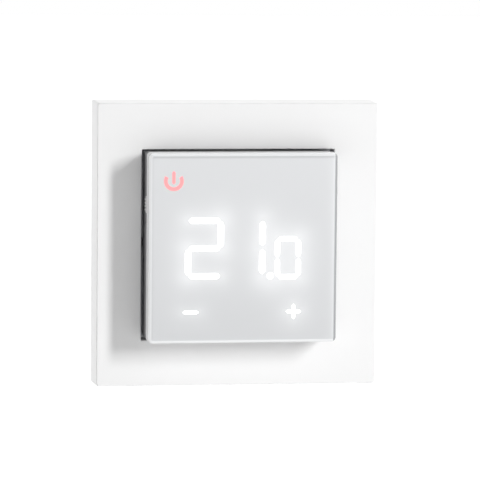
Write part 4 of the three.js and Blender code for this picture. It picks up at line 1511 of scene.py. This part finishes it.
@dataclass
class PowerBoard:
    """The power board with its supply parts."""

    def build(self) -> None:
        """Builds the board, the parts behind it and the joints on its front."""
        refine("power_board", Body.BASE, Slot.BOARD, MASK, 0.08, 1)
        Transformer().build()
        self.add_film_capacitor()
        Varistor().build()
        self.add_fuse()
        self.add_can()
        self.add_joints()
        back = span("power_board")[1].y
        places = [((4.0 + 2.6 * (step % 2), -3.0 - 2.4 * step), 0.55) for step in range(3)]
        places += [((-18.0 + 2.8 * step, 12.6), 0.5) for step in range(4)]
        places += [((9.5 + 2.6 * step, 13.2), 0.5) for step in range(3)]
        SmallParts(Body.BASE, "power").build(places, back)

    @staticmethod
    def add_film_capacitor() -> None:
        """Adds the filter capacitor: a box on feet, potted at its bottom."""
        low, high = span("filter_capacitor")
        box = Sketch()
        box.block((low.x, low.y + 0.5, low.z), (high.x, high.y, high.z))
        for x in (low.x + 0.9, high.x - 0.9):
            for z in (low.z + 0.8, high.z - 0.8):
                box.block((x - 0.5, low.y, z - 0.4), (x + 0.5, low.y + 0.7, z + 0.4))
        box.soften(0.35, 3)
        box.cast("filter_capacitor_box", Body.BASE, Slot.BLUE, BLUE, ["filter_capacitor"])
        places = [(x, (low.z + high.z) / 2) for x in (low.x + 1.3, high.x - 1.3)]
        Legs("filter_capacitor_legs").build(places, low.y)

    @staticmethod
    def add_fuse() -> None:
        """Adds the fuse in its box, with a moulded rib round it."""
        low, high = span("fuse")
        fuse = Sketch()
        fuse.block((low.x + 0.15, low.y, low.z + 0.15), (high.x - 0.15, high.y, high.z - 0.15))
        fuse.soften(0.35, 3)
        rib = fuse.block((low.x, high.y - 2.2, low.z), (high.x, high.y - 1.4, high.z))
        fuse.soften(0.25, 2, rib)
        fuse.cast("fuse_box", Body.BASE, Slot.BLACK, BLACK, ["fuse"])

    @staticmethod
    def add_can() -> None:
        """Adds the smoothing capacitor: a sleeved can with a scored aluminium end."""
        low, high = span("smoothing_capacitor")
        radius = (high.x - low.x) / 2
        axis = axle("smoothing_capacitor")
        sleeve = Sketch()
        sleeve.turn([
            (0.0, low.y + 0.3), (radius - 0.5, low.y + 0.3), (radius - 0.15, low.y + 0.5),
            (radius, low.y + 0.9), (radius, low.y + 1.3), (radius - 0.2, low.y + 1.5),
            (radius - 0.35, low.y + 1.8), (radius - 0.2, low.y + 2.1), (radius, low.y + 2.3),
            (radius, high.y - 0.5), (radius - 0.15, high.y - 0.2), (radius - 0.5, high.y - 0.05),
            (radius - 0.8, high.y - 0.1), (radius - 0.8, high.y - 0.6), (0.0, high.y - 0.6),
        ], axis, Axis.Y, 40)
        sleeve.cast("can_sleeve", Body.BASE, Slot.BLACK, BLACK, ["smoothing_capacitor"])
        end = Sketch()
        end.turn([
            (0.0, high.y - 0.7), (radius - 0.85, high.y - 0.7), (radius - 0.85, high.y - 0.2),
            (radius - 1.1, high.y - 0.1), (0.0, high.y - 0.1),
        ], axis, Axis.Y, 40)
        for turn in range(3):
            score = Sketch()
            made = score.block((-radius, high.y - 0.25, -0.12), (radius, high.y + 1.0, 0.12))
            around = Matrix.Rotation((turn + 0.1) * math.pi / 3, 3, "Y")
            bmesh.ops.rotate(score.mesh, cent=(0, 0, 0), matrix=around, verts=made)
            bmesh.ops.translate(score.mesh, vec=axis, verts=made)
            end.carve(score)
        end.cast("can_end", Body.BASE, Slot.STEEL, ALUMINIUM)

    @staticmethod
    def add_joints() -> None:
        """Adds the solder joints on the board's front."""
        front = span("power_board")[0].y
        places = [(-19.3, 7.7), (-9.3, 7.7), (-5.0, 7.6), (-1.4, 7.6)]
        places += [(3.4, 6.2), (7.6, 6.2), (14.3, 6.6), (16.9, 6.6)]
        places += [(10.8 + 2.8 * step, z) for step in range(4) for z in (-7.8, -1.2)]
        places += [(-18.0 + 4.6 * step, z) for step in range(4) for z in (-8.0, 1.4)]
        joints = Sketch()
        for x, z in places:
            joints.turn([
                (0.0, front + 0.05), (0.9, front + 0.05), (0.85, front - 0.1), (0.55, front - 0.3),
                (0.32, front - 0.6), (0.2, front - 0.8), (0.0, front - 0.82),
            ], (x, 0.0, z), Axis.Y, 14)
        joints.cast("board_joints", Body.BASE, Slot.STEEL, SOLDER)


@dataclass
class Relay:
    """The heating relay: case, coil, yoke, hinged armature and contacts."""

    wire: float = 0.22

    def build(self) -> None:
        """Builds the relay from its base to its case."""
        refine("relay_base", Body.BASE, Slot.BLACK, BLACK, 0.2)
        refine("relay_case", Body.BASE, Slot.BLUE, BLUE, 0.35, 3)
        refine("relay_yoke", Body.BASE, Slot.STEEL, ZINC)
        refine("relay_armature", Body.ARMATURE, Slot.STEEL, ZINC, 0.15)
        refine("relay_moving_contact", Body.ARMATURE, Slot.COPPER, COPPER, 0.08)
        refine("relay_fixed_contact", Body.BASE, Slot.COPPER, COPPER, 0.08)
        self.add_coil()

    def add_coil(self) -> None:
        """Adds the coil: a bobbin and the enamelled wire wound on it."""
        low, high = span("relay_coil")
        flange = (high.x - low.x) / 2
        axis = axle("relay_coil")
        wound = flange - 0.4
        bobbin = Sketch()
        bobbin.turn([
            (1.6, low.y), (flange, low.y), (flange, low.y + 0.8), (wound - 0.5, low.y + 0.8),
            (wound - 0.5, high.y - 0.8), (flange, high.y - 0.8), (flange, high.y), (1.6, high.y),
            (1.6, low.y),
        ], axis, Axis.Y, 36)
        bobbin.soften(0.1, 1, sharper=60.0)
        bobbin.cast("coil_bobbin", Body.BASE, Slot.COPPER, MILKY, ["relay_coil"])
        section = wire_section(wound - self.wire, self.wire)
        turns = math.floor((high.y - low.y - 1.6 - 2 * self.wire) / (2 * self.wire))
        winding = Sketch()
        start = axis + Vector((0.0, low.y + 0.8 + self.wire, 0.0))
        winding.coil(section, start, 2.02 * self.wire, turns, 28)
        winding.cast("coil_winding", Body.BASE, Slot.COPPER, COPPER)


def build_base() -> None:
    """Builds the base, its terminals and its power board."""
    Base().build()
    TerminalRow("mains", 4, 1.4, 0.6).build()
    TerminalRow("sensor", 2, 0.9, 0.45).build()
    PowerBoard().build()
    Relay().build()


# Studio.


@dataclass(frozen=True)
class Studio:
    """The pale floor, the lights and the camera."""

    azimuth: float = -8.92
    elevation: float = 5.88
    roll: float = 0.51
    distance: float = 0.95228
    across: float = 0.00252
    up: float = 0.00008
    lens: float = 240.0
    key_direction: Point = (0.65, -0.7, 0.335)
    key_distance: float = 1.6
    key_size: Flat = (0.19, 0.62)
    key_power: float = 17.2
    sky_front: float = 0.15
    sky_back: float = 1.25
    sky_blend: float = 0.25
    floor_z: float = -0.6
    floor_light: Flat = (0.04, 0.66)
    floor_fade: Flat = (0.5, 2.4)

    def build(self) -> None:
        """Sets the whole studio up."""
        self.add_camera()
        self.add_key()
        self.add_world()
        self.add_floor()
        bpy.context.scene.view_settings.view_transform = "Standard"

    def add_camera(self) -> None:
        """Adds the camera in front of the thermostat, a little left of it and above it."""
        azimuth, elevation, roll = (math.radians(a) for a in (self.azimuth, self.elevation, self.roll))
        back = Vector((
            math.sin(azimuth) * math.cos(elevation),
            -math.cos(azimuth) * math.cos(elevation),
            math.sin(elevation),
        ))
        level = (-back).cross(Vector((0, 0, 1))).normalized()
        upright = level.cross(-back)
        right = level * math.cos(roll) + upright * math.sin(roll)
        top = upright * math.cos(roll) - level * math.sin(roll)
        data = bpy.data.cameras.new("camera")
        data.lens = self.lens
        data.sensor_width = 36.0
        data.clip_start, data.clip_end = 0.05, 30.0
        camera = bpy.data.objects.new("camera", data)
        turn = Matrix((right, top, back)).transposed().to_4x4()
        place = back * self.distance + right * self.across + top * self.up
        camera.matrix_world = Matrix.Translation(place) @ turn
        bpy.context.scene.collection.objects.link(camera)
        bpy.context.scene.camera = camera

    def add_key(self) -> None:
        """Adds the soft key light, up to the right of the thermostat."""
        data = bpy.data.lights.new("key", "AREA")
        data.shape = "RECTANGLE"
        data.size, data.size_y = self.key_size
        data.energy = self.key_power
        key = bpy.data.objects.new("key", data)
        direction = Vector(self.key_direction).normalized()
        key.location = direction * self.key_distance
        key.rotation_euler = direction.to_track_quat("Z", "Y").to_euler()
        bpy.context.scene.collection.objects.link(key)

    def add_world(self) -> None:
        """Adds a sky that looks white and lights the thermostat softly, most from behind it."""
        world = bpy.data.worlds.new("studio")
        world.use_nodes = True
        tree = world.node_tree
        background = tree.nodes["Background"]
        path = tree.nodes.new("ShaderNodeLightPath")
        direction = tree.nodes.new("ShaderNodeTexCoord")
        parts = tree.nodes.new("ShaderNodeSeparateXYZ")
        level = tree.nodes.new("ShaderNodeMapRange")
        level.interpolation_type = "SMOOTHSTEP"
        level.inputs["From Min"].default_value = -self.sky_blend
        level.inputs["From Max"].default_value = self.sky_blend
        level.inputs["To Min"].default_value = self.sky_front
        level.inputs["To Max"].default_value = self.sky_back
        shown = tree.nodes.new("ShaderNodeMix")
        shown.inputs["B"].default_value = 1.0
        tree.links.new(direction.outputs["Generated"], parts.inputs["Vector"])
        tree.links.new(parts.outputs["Y"], level.inputs["Value"])
        tree.links.new(path.outputs["Is Camera Ray"], shown.inputs["Factor"])
        tree.links.new(level.outputs["Result"], shown.inputs["A"])
        tree.links.new(shown.outputs["Result"], background.inputs["Strength"])
        background.inputs["Color"].default_value = (1.0, 1.0, 1.0, 1.0)
        bpy.context.scene.world = world

    def add_floor(self) -> None:
        """Adds the pale floor."""
        sketch = bmesh.new()
        bmesh.ops.create_grid(sketch, x_segments=1, y_segments=1, size=20.0)
        bmesh.ops.translate(sketch, vec=(0, 0, self.floor_z), verts=sketch.verts)
        mesh = bpy.data.meshes.new("floor")
        sketch.to_mesh(mesh)
        sketch.free()
        shader = Shader("pale_floor")
        shader.join(shader.ramp(shader.noise(0.5, 1.0), (0.0, 1.0), 0.88, 0.9), "Roughness")
        shader.set(Base_Color=(0.66, 0.66, 0.66, 1.0), Emission_Color=(1.0, 1.0, 1.0, 1.0))
        away = shader.tree.nodes.new("ShaderNodeVectorMath")
        away.operation = "LENGTH"
        shader.tree.links.new(shader.place, away.inputs[0])
        glow = shader.ramp(away.outputs["Value"], self.floor_fade, *self.floor_light)
        shader.join(glow, "Emission Strength")
        mesh.materials.append(shader.material)
        floor = bpy.data.objects.new("floor", mesh)
        bpy.context.scene.collection.objects.link(floor)


def build_front() -> None:
    """Builds the frame and what shows of the touch module."""
    CoverFrame().build()
    GlassPanel().build(Display())
    refine("front_bezel", Body.MODULE, Slot.CAP_WHITE, CAP_WHITE, 0.18, 3)
    refine("front_housing", Body.MODULE, Slot.GREY, BODY_GREY, 0.15, 2)
    refine("glass_adhesive", Body.MODULE, Slot.ADHESIVE, FOAM, 0.04, 1)
    SideSwitch().build()


def main() -> None:
    """Builds every piece and the studio."""
    logging.basicConfig(level=logging.INFO, format="%(message)s")
    build_front()
    TouchModule().build()
    build_base()
    Studio().build()


if __name__ == "__main__":
    main()
